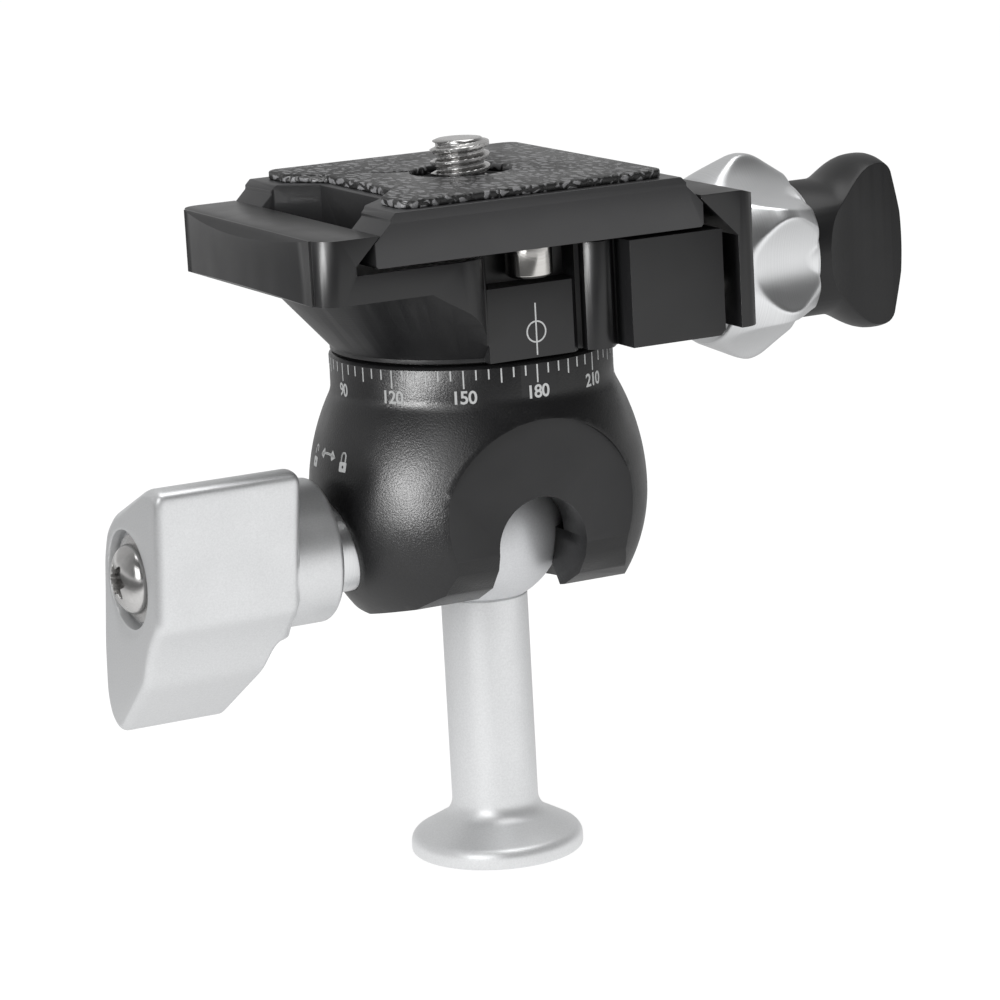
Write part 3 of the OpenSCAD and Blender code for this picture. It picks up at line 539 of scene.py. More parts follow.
def tube(path: Array, radius: float, sides: int = 14) -> Array:
    """Carries a circle along a path.

    The circle lies across the path's direction, in the frame of a fixed side vector made square to it.

    Args:
        path: points x 3 in mm.
        radius: the tube's radius in mm.
        sides: points in a circle.

    Returns:
        Rings x sides x 3 points in mm.
    """
    ahead = np.gradient(path, axis=0)
    ahead /= np.linalg.norm(ahead, axis=1)[:, None]
    fixed = np.array([0.0, 0.0, 1.0]) if np.abs(ahead[:, 2]).max() < 0.9 else np.array([1.0, 0.0, 0.0])
    side = np.cross(ahead, fixed)
    side /= np.linalg.norm(side, axis=1)[:, None]
    other = np.cross(side, ahead)
    t = (np.arange(sides) / sides * TURN)[None, :, None]
    return path[:, None] + radius * (np.cos(t) * side[:, None] + np.sin(t) * other[:, None])


@dataclass
class Carried(Shell):
    """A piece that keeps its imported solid's shape, with joined faces and broken edges."""

    edge: float = 0.15
    steps: int = 2

    def build(self, nodes: Nodes) -> bpy.types.Object:
        """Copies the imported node, merges it, and gives its edges a small round.

        Args:
            nodes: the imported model's nodes.

        Returns:
            The piece, which stands for the node.
        """
        mesh = nodes[self.replaces[0]].data.copy()
        mesh.name = self.name
        work = bmesh.new()
        work.from_mesh(mesh)
        bmesh.ops.remove_doubles(work, verts=work.verts, dist=2e-6)
        bmesh.ops.dissolve_limit(work, angle_limit=math.radians(0.4), verts=work.verts, edges=work.edges)
        work.to_mesh(mesh)
        work.free()
        mesh.shade_smooth()
        mesh.edges.foreach_set("use_edge_sharp", np.zeros(len(mesh.edges), bool))
        piece = self.placed(mesh)
        bevel = piece.modifiers.new("broken_edges", "BEVEL")
        bevel.width, bevel.segments = self.edge * MM, self.steps
        bevel.limit_method, bevel.angle_limit = "ANGLE", math.radians(28)
        bevel.harden_normals, bevel.miter_outer = True, "MITER_ARC"
        return piece


@dataclass
class Assembly:
    """A sub-assembly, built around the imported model's nodes."""

    nodes: Nodes

    def dress(self, **finishes: Finish) -> None:
        """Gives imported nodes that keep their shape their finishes, by node name."""
        for name, finish in finishes.items():
            self.nodes[name].data.materials.clear()
            self.nodes[name].data.materials.append(finish.material())

    def build(self) -> None:
        """Builds the pieces; each sub-assembly has its own way."""
        raise NotImplementedError


@dataclass
class Stem(Assembly):
    """The foot, the stem and its stud, and the threaded insert in the base."""

    foot_r: float = 9.4
    rim_h: float = 1.5
    base_edge: float = 0.35
    rim_round: float = 1.5
    slope: float = 29.0
    stem_r: float = 4.7
    fillet: float = 1.5
    top: float = 28.75
    stud_r: float = 2.45
    stud_len: float = 8.0
    insert_r: float = 3.775
    insert_len: float = 10.0
    thread: Thread = Thread(3.175, 2.62, 1.27)

    def profile(self) -> Array:
        """The foot's and stem's closed profile: base, rim, cone, fillet, shaft, stud and bore."""
        rim, stud_top = self.rim_h + self.base_edge, self.top + self.stud_len
        neck = rim + (self.foot_r - self.stem_r) * math.tan(math.radians(self.slope))
        line = [
            (0, self.insert_r), (0, self.foot_r), (rim, self.foot_r), (neck, self.stem_r),
            (self.top, self.stem_r), (self.top, self.stud_r), (stud_top, self.stud_r), (stud_top, 0),
        ]  # fmt: skip
        outside = rounded(line, [0, self.base_edge, self.rim_round, self.fillet * 1.6, 0.3, 0, 0.3, 0], 8)
        bore = [(self.insert_len, 0), (self.insert_len, self.insert_r), (0, self.insert_r)]
        return np.concatenate([outside, np.asarray(bore, float)])

    def build(self) -> None:
        """Builds the foot and stem and the insert's thread."""
        Shell("foot_and_stem", "stem", SILVER_FOOT, ("stem",), "foot_silver").rings(
            turned(self.profile(), sides=160)
        )
        end, outer_r, rows = self.insert_len - 0.05, self.insert_r - 0.02, 110
        bore = self.thread.rings(np.linspace(0.5, end, rows), np.ones(rows), np.zeros(rows))
        mouth = turned(np.array([[0.0, 3.5], [0.5, 3.2]]), sides=72)
        outer = turned(np.array([[end, outer_r], [0.0, outer_r]]), sides=72)
        Shell("base_thread_insert", "stem", BLACK_STEEL, ("thread_insert",), "black_steel").rings(
            np.concatenate([mouth, bore, outer]), closed=True
        )


@dataclass
class Ball(Assembly):
    """The ball pressed on the stud, the slippery cap over it and the brake pad behind it."""

    z: float = 36.394
    radius: float = 9.0
    flat_r: float = 4.75
    bore: float = 2.5
    bore_len: float = 8.3

    def build(self) -> None:
        """Builds the ball and dresses its cap and brake pad."""
        low = -math.sqrt(self.radius**2 - self.flat_r**2)
        deep = low + self.bore_len
        angle = np.linspace(math.asin(low / self.radius), math.pi / 2, 90)
        shell = self.radius * np.stack([np.sin(angle), np.cos(angle)], -1)
        shell[-1, 1] = 0
        closed = np.concatenate([[(deep, 0), (deep, self.bore), (low, self.bore)], shell])
        Shell("ball", "ball", SILVER_BALL, ("ball",), "ball_silver").rings(
            turned(closed, centre=(0, 0, self.z), sides=160)
        )
        self.dress(ball_cup=ACETAL, brake_pad=ACETAL)


@dataclass
class Housing(Assembly):
    """The black housing, its hub, the lock's collar and the marks etched on it.

    A mark stands proud mm over the metal, and its underside lies deep mm in it.
    """

    ball_z: float = 36.394
    belly_r: float = 18.2
    belly_rise: float = 3.6
    shoulder_r: float = 25.0
    neck_r: float = 15.15
    neck_fillet: float = 3.0
    tick_rise: float = 19.35
    tick_half: float = 0.08
    digit_rise: float = 16.45
    digit_h: float = 1.34
    proud: float = 0.025
    deep: float = 0.04
    spot_y: float = 14.6
    collar_in: float = 13.5
    collar_out: float = 19.5
    collar_r: float = 5.0
    collar_bore: float = 2.55

    def radius(self, z: Array) -> Array:
        """The housing's outer radius at a height.

        Below the widest ring it is a sphere, above it an arc of shoulder_r, then a fillet that turns into
        the straight neck.

        Args:
            z: heights in mm.

        Returns:
            Radii in mm.
        """
        belly_z = self.ball_z + self.belly_rise
        up = np.asarray(z, float) - belly_z
        fillet_x = self.neck_r + self.neck_fillet
        shoulder_x = self.belly_r - self.shoulder_r
        rise = math.sqrt((self.shoulder_r + self.neck_fillet) ** 2 - (fillet_x - shoulder_x) ** 2)
        join = self.shoulder_r * rise / (self.shoulder_r + self.neck_fillet)
        belly = np.sqrt(np.clip(self.belly_r**2 - up**2, 0, None))
        shoulder = shoulder_x + np.sqrt(np.clip(self.shoulder_r**2 - up**2, 0, None))
        fillet = fillet_x - np.sqrt(np.clip(self.neck_fillet**2 - (rise - up) ** 2, 0, None))
        return np.select([up < 0, up < join, up < rise], [belly, shoulder, fillet], self.neck_r)

    def build(self) -> None:
        """Builds the housing with its milled front face, the hub, the collar and the marks."""
        skin = Carried("housing_shell", "housing", BLACK_HOUSING, ("housing",), "housing_black", edge=0.18)
        front = -self.spot_y * MM * 0.99
        # The flat front face gets the milled black, which is painted lighter for the light it catches.
        paint(skin.build(self.nodes), BLACK_MILLED_PAINTED_LIGHTER, lambda c, n: (c[:, 1] < front) & (n[:, 1] < -0.99))
        collar = ring_profile(-self.collar_out, -self.collar_in, self.collar_bore, self.collar_r, 0.25)
        Shell("lock_collar_sleeve", "housing", SILVER_TURNED, ("lock_collar",), "lever_silver").rings(
            turned(collar, Axis.X, (0, 0, self.ball_z))
        )
        self.dress(pan_hub=HUB_ALLOY)
        self.scale()
        self.icons()

    def wrap(self, flat: Array) -> Array:
        """Lays thin flat shapes on the housing.

        A point (s, z, h) goes to angle s / neck_r from the front towards +X and to height z. Its radius is
        radius(z) + proud where h is positive, and radius(z) - deep where it isn't.

        Args:
            flat: rows of length round the neck, height, and side, in mm.

        Returns:
            Points x 3 in mm.
        """
        angle = flat[:, 0] / self.neck_r
        out = self.radius(flat[:, 1]) + np.where(flat[:, 2] > 0, self.proud, -self.deep)
        return np.stack([out * np.sin(angle), -out * np.cos(angle), flat[:, 1]], -1)

    def scale(self) -> None:
        """Etches the degree scale: a tick each 5 degrees, longer each 15 and 30, with its numbers."""
        degrees = np.arange(0, 360, 5)
        length = np.where(degrees % 30 == 0, 1.9, np.where(degrees % 15 == 0, 1.5, 1.05))
        corner = np.array([[-1, 0, 1], [1, 0, 1], [1, 1, 1], [-1, 1, 1]]) * [self.tick_half, 1, 1]
        flat = np.repeat(np.concatenate([corner, corner * [1, 1, -1]])[None], len(degrees), 0)
        flat[..., 1] = self.ball_z + self.tick_rise - flat[..., 1] * length[:, None]
        flat[..., 0] += np.radians(degrees - 180)[:, None] * self.neck_r
        faces = (np.arange(len(degrees))[:, None, None] * 8 + np.array(BOX)).reshape(-1, 4).tolist()
        Shell("degree_ticks", "housing", ETCHED, smooth=20).put(self.wrap(flat.reshape(-1, 3)), faces)
        for value in range(0, 360, 30):
            self.number(value)

    def number(self, value: int) -> None:
        """Etches one number of the scale, a little thinner and closer set than the font.

        Args:
            value: the number, which is also its place in degrees.
        """
        text = bpy.data.curves.new(f"number_{value}", "FONT")
        text.body, text.align_x, text.align_y = str(value), "CENTER", "CENTER"
        text.size, text.offset, text.extrude = self.digit_h / 0.7, 0.035, 0.5
        text.space_character, text.resolution_u = 0.92, 4
        holder = linked(f"number_{value}", text)
        bpy.context.view_layer.update()
        mesh = bpy.data.meshes.new_from_object(holder)
        bpy.data.objects.remove(holder)
        flat = np.zeros(len(mesh.vertices) * 3)
        mesh.vertices.foreach_get("co", flat)
        middle = [math.radians(value - 180) * self.neck_r, self.ball_z + self.digit_rise, 0]
        laid = self.wrap(flat.reshape(-1, 3) + middle) * MM
        mesh.vertices.foreach_set("co", laid.astype(np.float32).ravel())
        Shell(f"degree_{value}", "housing", ETCHED, smooth=20).finished(mesh)

    def etched(self, name: str, turn: float, z: float, bands: list[tuple[Array, Array]]) -> None:
        """Etches a mark made of flat bands, each the closed strip between two loops of points.

        Args:
            name: the mark's name.
            turn: its middle, in degrees from the front towards +X.
            z: its middle's height in mm.
            bands: pairs of loops with as many points each, in mm from the middle.
        """
        points, faces, first = [], [], 0
        for outer, inner in bands:
            count = len(outer)
            i = np.arange(count)
            for k, (line, side) in enumerate(((outer, 1), (inner, 1), (inner, -1), (outer, -1))):
                points.append(np.column_stack([line, np.full(count, side)]))
                here, there = first + k * count, first + (k + 1) % 4 * count
                faces += np.stack([here + i, here + (i + 1) % count, there + (i + 1) % count, there + i], -1).tolist()
            first += 4 * count
        flat = np.concatenate(points)
        flat[:, 0] *= self.neck_r / float(self.radius(z))
        flat += [math.radians(turn) * self.neck_r, z, 0]
        Shell(name, "housing", ETCHED, smooth=20).put(self.wrap(flat), faces)

    def icons(self) -> None:
        """Etches a locked and an unlocked padlock with a two-headed arrow between them, above the lever.

        A padlock is a rounded box round a keyhole, and a shackle that is half an ellipse on two legs. The
        arrow is a bowed line whose half width grows and falls to a point at both ends.
        """
        t = np.linspace(0, TURN, 24, endpoint=False)
        ray = np.stack([np.cos(t), np.sin(t)], -1)
        keyhole = 0.16 * ray - [0, 0.5]
        box = ray / np.maximum(np.abs(ray[:, :1]) / 0.6, np.abs(ray[:, 1:]) / 0.52) - [0, 0.5]
        bend = np.linspace(math.pi, 0, 9)
        arch = np.concatenate([[(-1, -1.0)], np.stack([np.cos(bend), np.sin(bend)], -1), [(1, -1.0)]])
        for name, turn, z, lift in (("padlock_locked", -79.5, 45.9, 0.0), ("padlock_unlocked", -101.0, 45.5, 0.3)):
            outer, inner = arch * [0.46, 0.5], arch * [0.27, 0.31]
            inner[[0, -1], 1] = outer[[0, -1], 1]
            outer[-1, 1] += lift
            inner[-1, 1] += lift
            shackle = np.concatenate([outer, inner[::-1]]) + [0, 0.55 + lift]
            middle = np.concatenate([(outer + inner) / 2, (outer + inner)[::-1] / 2]) + [0, 0.55 + lift]
            self.etched(name, turn, z, [(box, keyhole), (shackle, middle)])
        s = np.linspace(-1, 1, 15)
        bow = 0.25 * (1 - s * s)
        half = np.where(np.abs(s) > 0.55, (1 - np.abs(s)) * 1.3, 0.12)
        upper, lower = np.stack([1.7 * s, bow + half], -1), np.stack([1.7 * s, bow - half], -1)
        line = np.concatenate([upper, lower[::-1]])
        middle = np.concatenate([(upper + lower) / 2, (upper + lower)[::-1] / 2])
        self.etched("lock_direction_arrow", -90.2, 46.1, [(line, middle)])


@dataclass
class BallLock(Assembly):
    """The spindle behind the brake pad and the wing lever on it, with its washer and screw."""

    axis_z: float = 36.394
    inner: float = 19.6
    outer: float = 41.0
    hub_r: float = 7.7
    head_in: float = 24.8
    reach: float = 18.3
    tilt: float = 8.0
    outer_round: float = 1.0
    inner_round: float = 1.1
    soft: float = 0.75
    under: float = 7.6
    under_x: float = -26.45
    under_slope: float = 3.43
    fillet: float = 0.3
    recess_r: float = 5.2
    recess: float = 1.5
    bore: float = 4.1
    washer_t: float = 0.6
    screw_r: float = 3.7
    dome: float = 2.3

    def outline(self, angle: Array) -> Array:
        """The radius of the lever's end outline.

        The corners are joined by straight lines, sampled evenly, and averaged along the line with a bell
        curve whose width is soft mm, which rounds every corner. The radius is read off where a ray at each
        angle meets the result.

        Args:
            angle: angles from the front (0) towards +Z, in radians.

        Returns:
            Radii in mm.
        """
        bend = np.radians(np.linspace(137, 168, 12))
        scoop = np.stack([19.3 + 15.5 * np.cos(bend), -14 + 15.5 * np.sin(bend)], -1)
        tail = [(-1.6, 1.2), (-2.4, 0.2), (-3.6, 0.0), (-5.3, 0.8), (-6.3, 2.8), (-6.8, 8.3)]
        spine = [(-6.8, 0.4), (-6.0, 3.6), (-4.0, 5.9), (5.4, 11.7)]
        corners = np.concatenate([[(8.0, 11.7)], scoop, np.add(tail, (0, -self.reach)), spine, [(8.0, 11.7)]])
        run = np.concatenate([[0.0], np.cumsum(np.hypot(*np.diff(corners, axis=0).T))])
        even = np.linspace(0, run[-1], 1600, endpoint=False)
        line = np.interp(even, run, corners[:, 0]) + 1j * np.interp(even, run, corners[:, 1])
        waves = np.fft.fftfreq(len(line), run[-1] / len(line))
        line = np.fft.ifft(np.fft.fft(line) * np.exp(-2 * (math.pi * waves * self.soft) ** 2))
        turn = np.mod(np.angle(line), TURN)
        order = np.argsort(turn)
        return np.interp(np.mod(angle, TURN), turn[order], np.abs(line)[order], period=TURN)

    def lever(self) -> Array:
        """The lever's rings from the recess in its end to the bore in its hub.

        Along each ray about the axis the surface runs over the recess, the end face, a quarter round, the
        side out to the outline but no further than the slanted underside, a quarter round, the inner face,
        the hub and the bore. A smooth minimum or maximum rounds the corners between them.
        """
        theta = np.linspace(0, TURN, 420, endpoint=False)
        c, d = self.outer_round, self.inner_round
        quarter = np.linspace(0, math.pi / 2, 9)
        side = np.linspace(-self.outer + c, -self.head_in - d, 90)[1:]
        x = np.concatenate([-self.outer + c - c * np.cos(quarter), side, -self.head_in - d + d * np.sin(quarter)])
        inset = np.concatenate([c - c * np.sin(quarter), np.zeros(len(side)), d - d * np.cos(quarter)])
        # the underside is level at the hub, then falls by under_slope, with a soft bend between
        depth = self.under + self.under_slope * self.fillet * np.logaddexp(0, (self.under_x - x) / self.fillet)
        slant = depth[:, None] / np.clip(-np.sin(theta), 0.05, None)
        radius = smooth_min(self.outline(theta) - inset[:, None], slant, 0.9)
        hub = np.interp(x, [-self.head_in - 1.6, -self.head_in - 0.3], [3.0, self.hub_r])
        radius = smooth_max(radius, hub[:, None], 0.35)
        share = np.linspace(0, 1, 6)[1:-1, None]
        face = (self.recess_r + 0.2) * (1 - share) + radius[:1] * share
        fall = np.linspace(0, 1, 5)[1:, None]
        neck = radius[-1:] * (1 - fall) + self.hub_r * fall
        floor = -self.outer + self.recess
        start = [
            (-36.0, 0.0), (-36.0, self.bore), (floor, self.bore), (floor, self.recess_r),
            (-self.outer + 0.2, self.recess_r), (-self.outer + 0.06, self.recess_r + 0.06),
            (-self.outer, self.recess_r + 0.2),
        ]  # fmt: skip
        end = rounded(
            [(-self.head_in + 0.2, self.hub_r), (-self.inner, self.hub_r), (-self.inner, self.bore),
             (-30.0, self.bore), (-30.0, 0)],
            [0, 0.7, 0, 0, 0], 6,
        )  # fmt: skip
        places = np.concatenate([np.full(4, -self.outer), x, np.full(4, -self.head_in)])[:, None]
        radius = np.concatenate([face, radius, neck])
        body = np.stack([places + 0 * radius, radius], -1)
        path = np.concatenate([spread(start, len(theta)), body, spread(end, len(theta))])
        y, z = -path[..., 1] * np.cos(theta), path[..., 1] * np.sin(theta)
        sin, cos = math.sin(math.radians(self.tilt)), math.cos(math.radians(self.tilt))
        return np.stack([path[..., 0], y * cos - z * sin, y * sin + z * cos + self.axis_z], -1)

    def screw(self) -> Array:
        """The lever screw: its shank and a domed head with a six-lobed socket.

        The dome's height falls with the square of the radius. The socket's outline is a ring whose radius
        swings six times round; its wall goes straight down and its floor is a shallow cone.
        """
        theta = np.linspace(0, TURN, 144, endpoint=False)
        seat = -self.outer + self.recess - self.washer_t
        lobe = (1.62 + 0.34 * np.cos(6 * theta))[None]
        share = np.linspace(1, 0, 16)[:, None]
        radius = lobe * (1 - share) + self.screw_r * share
        dome = seat - self.dome * np.sqrt(np.clip(1 - (radius / (self.screw_r + 0.05)) ** 2, 0, 1)) ** 0.9
        shank = spread(solid_profile(seat, seat + 14, 2.0, 0.2)[:0:-1], theta.size)
        level = np.ones((1, theta.size))
        floor = [dome[-1:] + 0.12, (seat - 0.75) * level, (seat - 0.35) * level]
        x = np.concatenate([shank[..., 0], seat * level, dome, *floor])
        r = np.concatenate([shank[..., 1], self.screw_r * level, radius, lobe * 0.97, lobe * 0.94, 0 * level])
        return np.stack([x, r * np.cos(theta), r * np.sin(theta) + self.axis_z], -1)

    def build(self) -> None:
        """Builds the lever, its washer, its screw and the spindle."""
        lever = Shell("lock_wing_lever", "lock_lever", SILVER_LEVER, ("lock_lever",), "lever_silver", 38)
        lever.rings(self.lever())
        floor = -self.outer + self.recess
        Shell("lever_plain_washer", "lock_lever", STAINLESS_SCREW, ("lever_washer",), "stainless").rings(
            turned(ring_profile(floor - self.washer_t, floor, 2.05, 4.7, 0.15), Axis.X, (0, 0, self.axis_z))
        )
        screw = Shell("lever_dome_screw", "lock_lever", STAINLESS_SCREW, ("lever_screw",), "stainless", 40)
        screw.rings(self.screw())
        self.dress(lock_spindle=TURNED_STEEL)


@dataclass
class Clamp(Assembly):
    """The panning clamp with the fixed jaw, what holds it down, and its index mark."""

    base_z: float = 56.494
    cone_h: float = 8.4
    boss_top: float = 64.794
    index_y: float = 15.4
    mark_top: float = 62.2
    mark_low: float = 56.75
    ring_z: float = 59.2
    ring_r: float = 1.08
    line: float = 0.16

    def build(self) -> None:
        """Builds the clamp with its turned cone, its retainer and washers, and the index mark."""
        body = Carried("clamp_with_fixed_jaw", "clamp", BLACK_CLAMP, ("clamp_body",), "clamp_black")
        body.edge, body.steps = 0.22, 3
        paint(body.build(self.nodes), BLACK_CONE, self.on_cone)
        Shell("pan_thrust_washer", "clamp", ACETAL_BLACK, ("thrust_washer",), "acetal").rings(
            turned(ring_profile(self.base_z - 0.37, self.base_z - 0.03, 8.1, 14.0, 0.1))
        )
        Shell("pan_wave_washer", "clamp", SPRING_STEEL, ("spring_washer",), "turned_steel").rings(
            turned(ring_profile(self.boss_top - 0.65, self.boss_top - 0.15, 8.2, 9.7, 0.1))
        )
        self.dress(pan_retainer=HUB_ALLOY, pan_screw=BLACK_STEEL)
        self.index()

    def on_cone(self, centre: Array, normal: Array) -> Array:
        """The faces that lie low and lean down and away from the axis."""
        away = (centre[:, :2] * normal[:, :2]).sum(1) > 0
        low = centre[:, 2] < (self.base_z + self.cone_h) * MM
        return away & low & (normal[:, 2] < -0.2) & (normal[:, 2] > -0.95)

    def index(self) -> None:
        """Etches the index mark: an upright line through a small ring, on the boss's front face."""
        y, half = -self.index_y, self.line / 2
        box = np.array([[-half, self.mark_low], [half, self.mark_low], [half, self.mark_top], [-half, self.mark_top]])
        front = np.stack([box[:, 0], np.full(4, y - 0.025), box[:, 1]], -1)
        Shell("index_line", "clamp", ETCHED, smooth=20).put(np.concatenate([front, front + [0, 0.06, 0]]), BOX)
        t = np.linspace(0, TURN, 64, endpoint=False)
        around = np.stack([np.cos(t), np.zeros(64), np.sin(t)], -1)
        section = ((-half, -0.03), (half, -0.03), (half, 0.035), (-half, 0.035))
        rows = [around * (self.ring_r + out) + [0, y + depth, self.ring_z] for out, depth in section]
        Shell("index_ring", "clamp", ETCHED, smooth=20).rings(np.array(rows), closed=True)


@dataclass
class Jaw(Assembly):
    """The movable jaw with its guide pins, their springs and the knob's washer."""

    axis_z: float = 61.294
    pin_in: float = 11.0
    pin_out: float = 24.7
    pin_y: float = 12.0
    pin_r: float = 1.5
    spring_in: float = 14.25
    spring_out: float = 23.05
    spring_r: float = 2.2
    wire: float = 0.25
    turns: int = 6
    outer: float = 27.7

    def build(self) -> None:
        """Builds the jaw, its pins, its springs and its washer."""
        jaw = Carried("movable_jaw", "jaw", BLACK_CLAMP, ("clamp_jaw",), "clamp_black", edge=0.25, steps=3)
        jaw.build(self.nodes)
        t = np.linspace(0, 1, 40 * self.turns)
        angle = t * self.turns * TURN
        x = self.spring_in + self.wire + (self.spring_out - self.spring_in - 2 * self.wire) * t
        pin = solid_profile(self.pin_in, self.pin_out, self.pin_r, 0.25)
        for side, y, pins, springs in (
            ("front", -self.pin_y, ("guide_pins",), ("jaw_springs",)), ("back", self.pin_y, (), ()),
        ):  # fmt: skip
            Shell(f"guide_pin_{side}", "jaw", STAINLESS, pins, "stainless").rings(
                turned(pin, Axis.X, (0, y, self.axis_z), 48)
            )
            path = np.stack([x, y + self.spring_r * np.cos(angle), self.axis_z + self.spring_r * np.sin(angle)], -1)
            Shell(f"jaw_spring_{side}", "jaw", SPRING_STEEL, springs, "turned_steel", 60).rings(
                tube(path, self.wire, 10), caps=True
            )
        Shell("jaw_plain_washer", "jaw", ACETAL, ("jaw_washer",), "acetal").rings(
            turned(ring_profile(self.outer + 0.05, self.outer + 0.4, 4.1, 6.5, 0.08), Axis.X, (0, 0, self.axis_z))
        )


@dataclass
class RingKnob(Assembly):
    """The ring knob with its scoops and the hollow screw that draws the jaw in."""

    axis_z: float = 61.294
    inner: float = 28.2
    belly: float = 34.5
    outer: float = 39.3
    belly_r: float = 11.95
    inner_r: float = 9.085
    outer_r: float = 8.648
    crest: float = 2.2
    scoops: int = 6
    scoop_r: float = 9.0
    scoop_floor: float = 8.6
    scoop_slope: float = 0.2
    rim_r: float = 7.95
    well_r: float = 7.8
    well: float = 4.7
    bore: float = 4.0
    edge: float = 0.35

    def radius(self, x: Array, t: Array) -> Array:
        """The knob's outer radius.

        Two cones meet at the belly, where a smooth minimum rounds the crest. Each scoop is a cylinder of
        scoop_r that leans outwards: the ray at angle t from the scoop's middle meets it where
        (r sin t)^2 + (a + r cos t cos lean)^2 = scoop_r^2, with a the ray's foot measured from its axis.

        Args:
            x: places along the axis in mm, as a column.
            t: angles about it in radians, as a row.

        Returns:
            Radii in mm.
        """
        rising = self.inner_r + (self.belly_r - self.inner_r) * (x - self.inner) / (self.belly - self.inner)
        falling = self.outer_r + (self.belly_r - self.outer_r) * (self.outer - x) / (self.outer - self.belly)
        cones = smooth_min(rising, falling, self.crest)
        lean = math.atan(self.scoop_slope)
        share = TURN / self.scoops
        off = np.mod(t + share / 2, share) - share / 2
        axis_x = self.belly + self.scoop_r * math.sin(lean)
        axis_h = self.scoop_floor + self.scoop_r * math.cos(lean)
        foot = (x - axis_x) * math.sin(lean) - axis_h * math.cos(lean)
        across = np.cos(off) * math.cos(lean)
        whole = np.sin(off) ** 2 + across**2
        inside = (foot * across) ** 2 - whole * (foot**2 - self.scoop_r**2)
        scoop = np.where(inside > 0, (-foot * across - np.sqrt(np.clip(inside, 0, None))) / whole, 99.0)
        return smooth_max(smooth_min(cones + 0 * t, scoop, 0.5), 0 * scoop + self.rim_r, 0.1)

    def rings(self) -> Array:
        """The knob's closed profile at each angle: bore, inner face, outside, outer face and well."""
        t = np.linspace(0, TURN, 384, endpoint=False)[None]
        quarter = np.linspace(0, math.pi / 2, 5)
        turn_in = self.inner + self.edge * (1 - np.cos(quarter))
        turn_out = self.outer - self.edge * (1 - np.cos(quarter))[::-1]
        middle = np.linspace(self.inner + self.edge, self.outer - self.edge, 64)[1:-1]
        x = np.concatenate([turn_in, middle, turn_out])[:, None]
        inset = self.edge * (1 - np.sin(quarter))
        inset = np.concatenate([inset, np.zeros(len(middle)), inset[::-1]])[:, None]
        outside = np.maximum(self.radius(x, t) - inset, self.rim_r - 0.08)
        before = [(self.inner, self.bore), (self.inner, 6.5)]
        floor = self.outer - self.well
        after = [(self.outer, self.well_r), (floor, self.well_r), (floor, self.bore)]
        shell = np.stack([x + 0 * t, outside], -1)
        path = np.concatenate([spread(before, t.size), shell, spread(after, t.size)])
        across = path[..., 1, None] * np.stack([np.cos(t[0]), np.sin(t[0])], -1)[None]
        return np.concatenate([path[..., :1], across], -1) + [0, 0, self.axis_z]

    def build(self) -> None:
        """Builds the ring knob and dresses its screw."""
        knob = Shell("ring_knob", "jaw_knob", SILVER_TURNED, ("jaw_knob",), "ring_silver", 34)
        knob.rings(self.rings(), closed=True)
        self.dress(jaw_screw=TURNED_STEEL)


@dataclass
class WingKnob(Assembly):
    """The pan lock's wing knob, its spindle, its plug and its end screw."""

    edge: float = 0.3

    def build(self) -> None:
        """Builds the wing knob and dresses what it turns."""
        knob = Carried("pan_wing_knob", "pan_knob", BLACK_KNOB, ("pan_lock_knob",), "knob_black")
        knob.edge, knob.steps = self.edge, 3
        knob.build(self.nodes)
        self.dress(pan_lock_spindle=TURNED_STEEL, pan_brake_plug=BRASS, knob_end_screw=BLACK_STEEL)


@dataclass
class Plate(Assembly):
    """The quick release plate with its rubber pad, stop pin and clip."""

    low_z: float = 68.194
    stop_y: float = 14.5
    stop_r: float = 2.45
    stop_h: float = 3.3
    stop_shank: float = 1.55
    stop_shank_h: float = 2.8

    def build(self) -> None:
        """Builds the plate, the pad and the stop pin."""
        Carried("dovetail_plate", "plate", BLACK_PLATE, ("plate",), "plate_black", edge=0.16).build(self.nodes)
        Carried("pebbled_pad", "plate", RUBBER, ("rubber_pad",), "rubber", edge=0.2).build(self.nodes)
        low, high = self.low_z - self.stop_h, self.low_z + self.stop_shank_h
        line = [
            (low, 0), (low, self.stop_r - 0.45), (low + 0.3, self.stop_r), (self.low_z, self.stop_r),
            (self.low_z, self.stop_shank), (high, self.stop_shank), (high, 0),
        ]  # fmt: skip
        Shell("plate_stop_pin", "plate", STAINLESS, ("stop_pin",), "stainless").rings(
            turned(rounded(line, [0, 0.1, 0.1, 0.15, 0, 0.2, 0], 3), centre=(0, -self.stop_y, 0), sides=64)
        )
        self.dress(screw_clip=BLACK_STEEL)


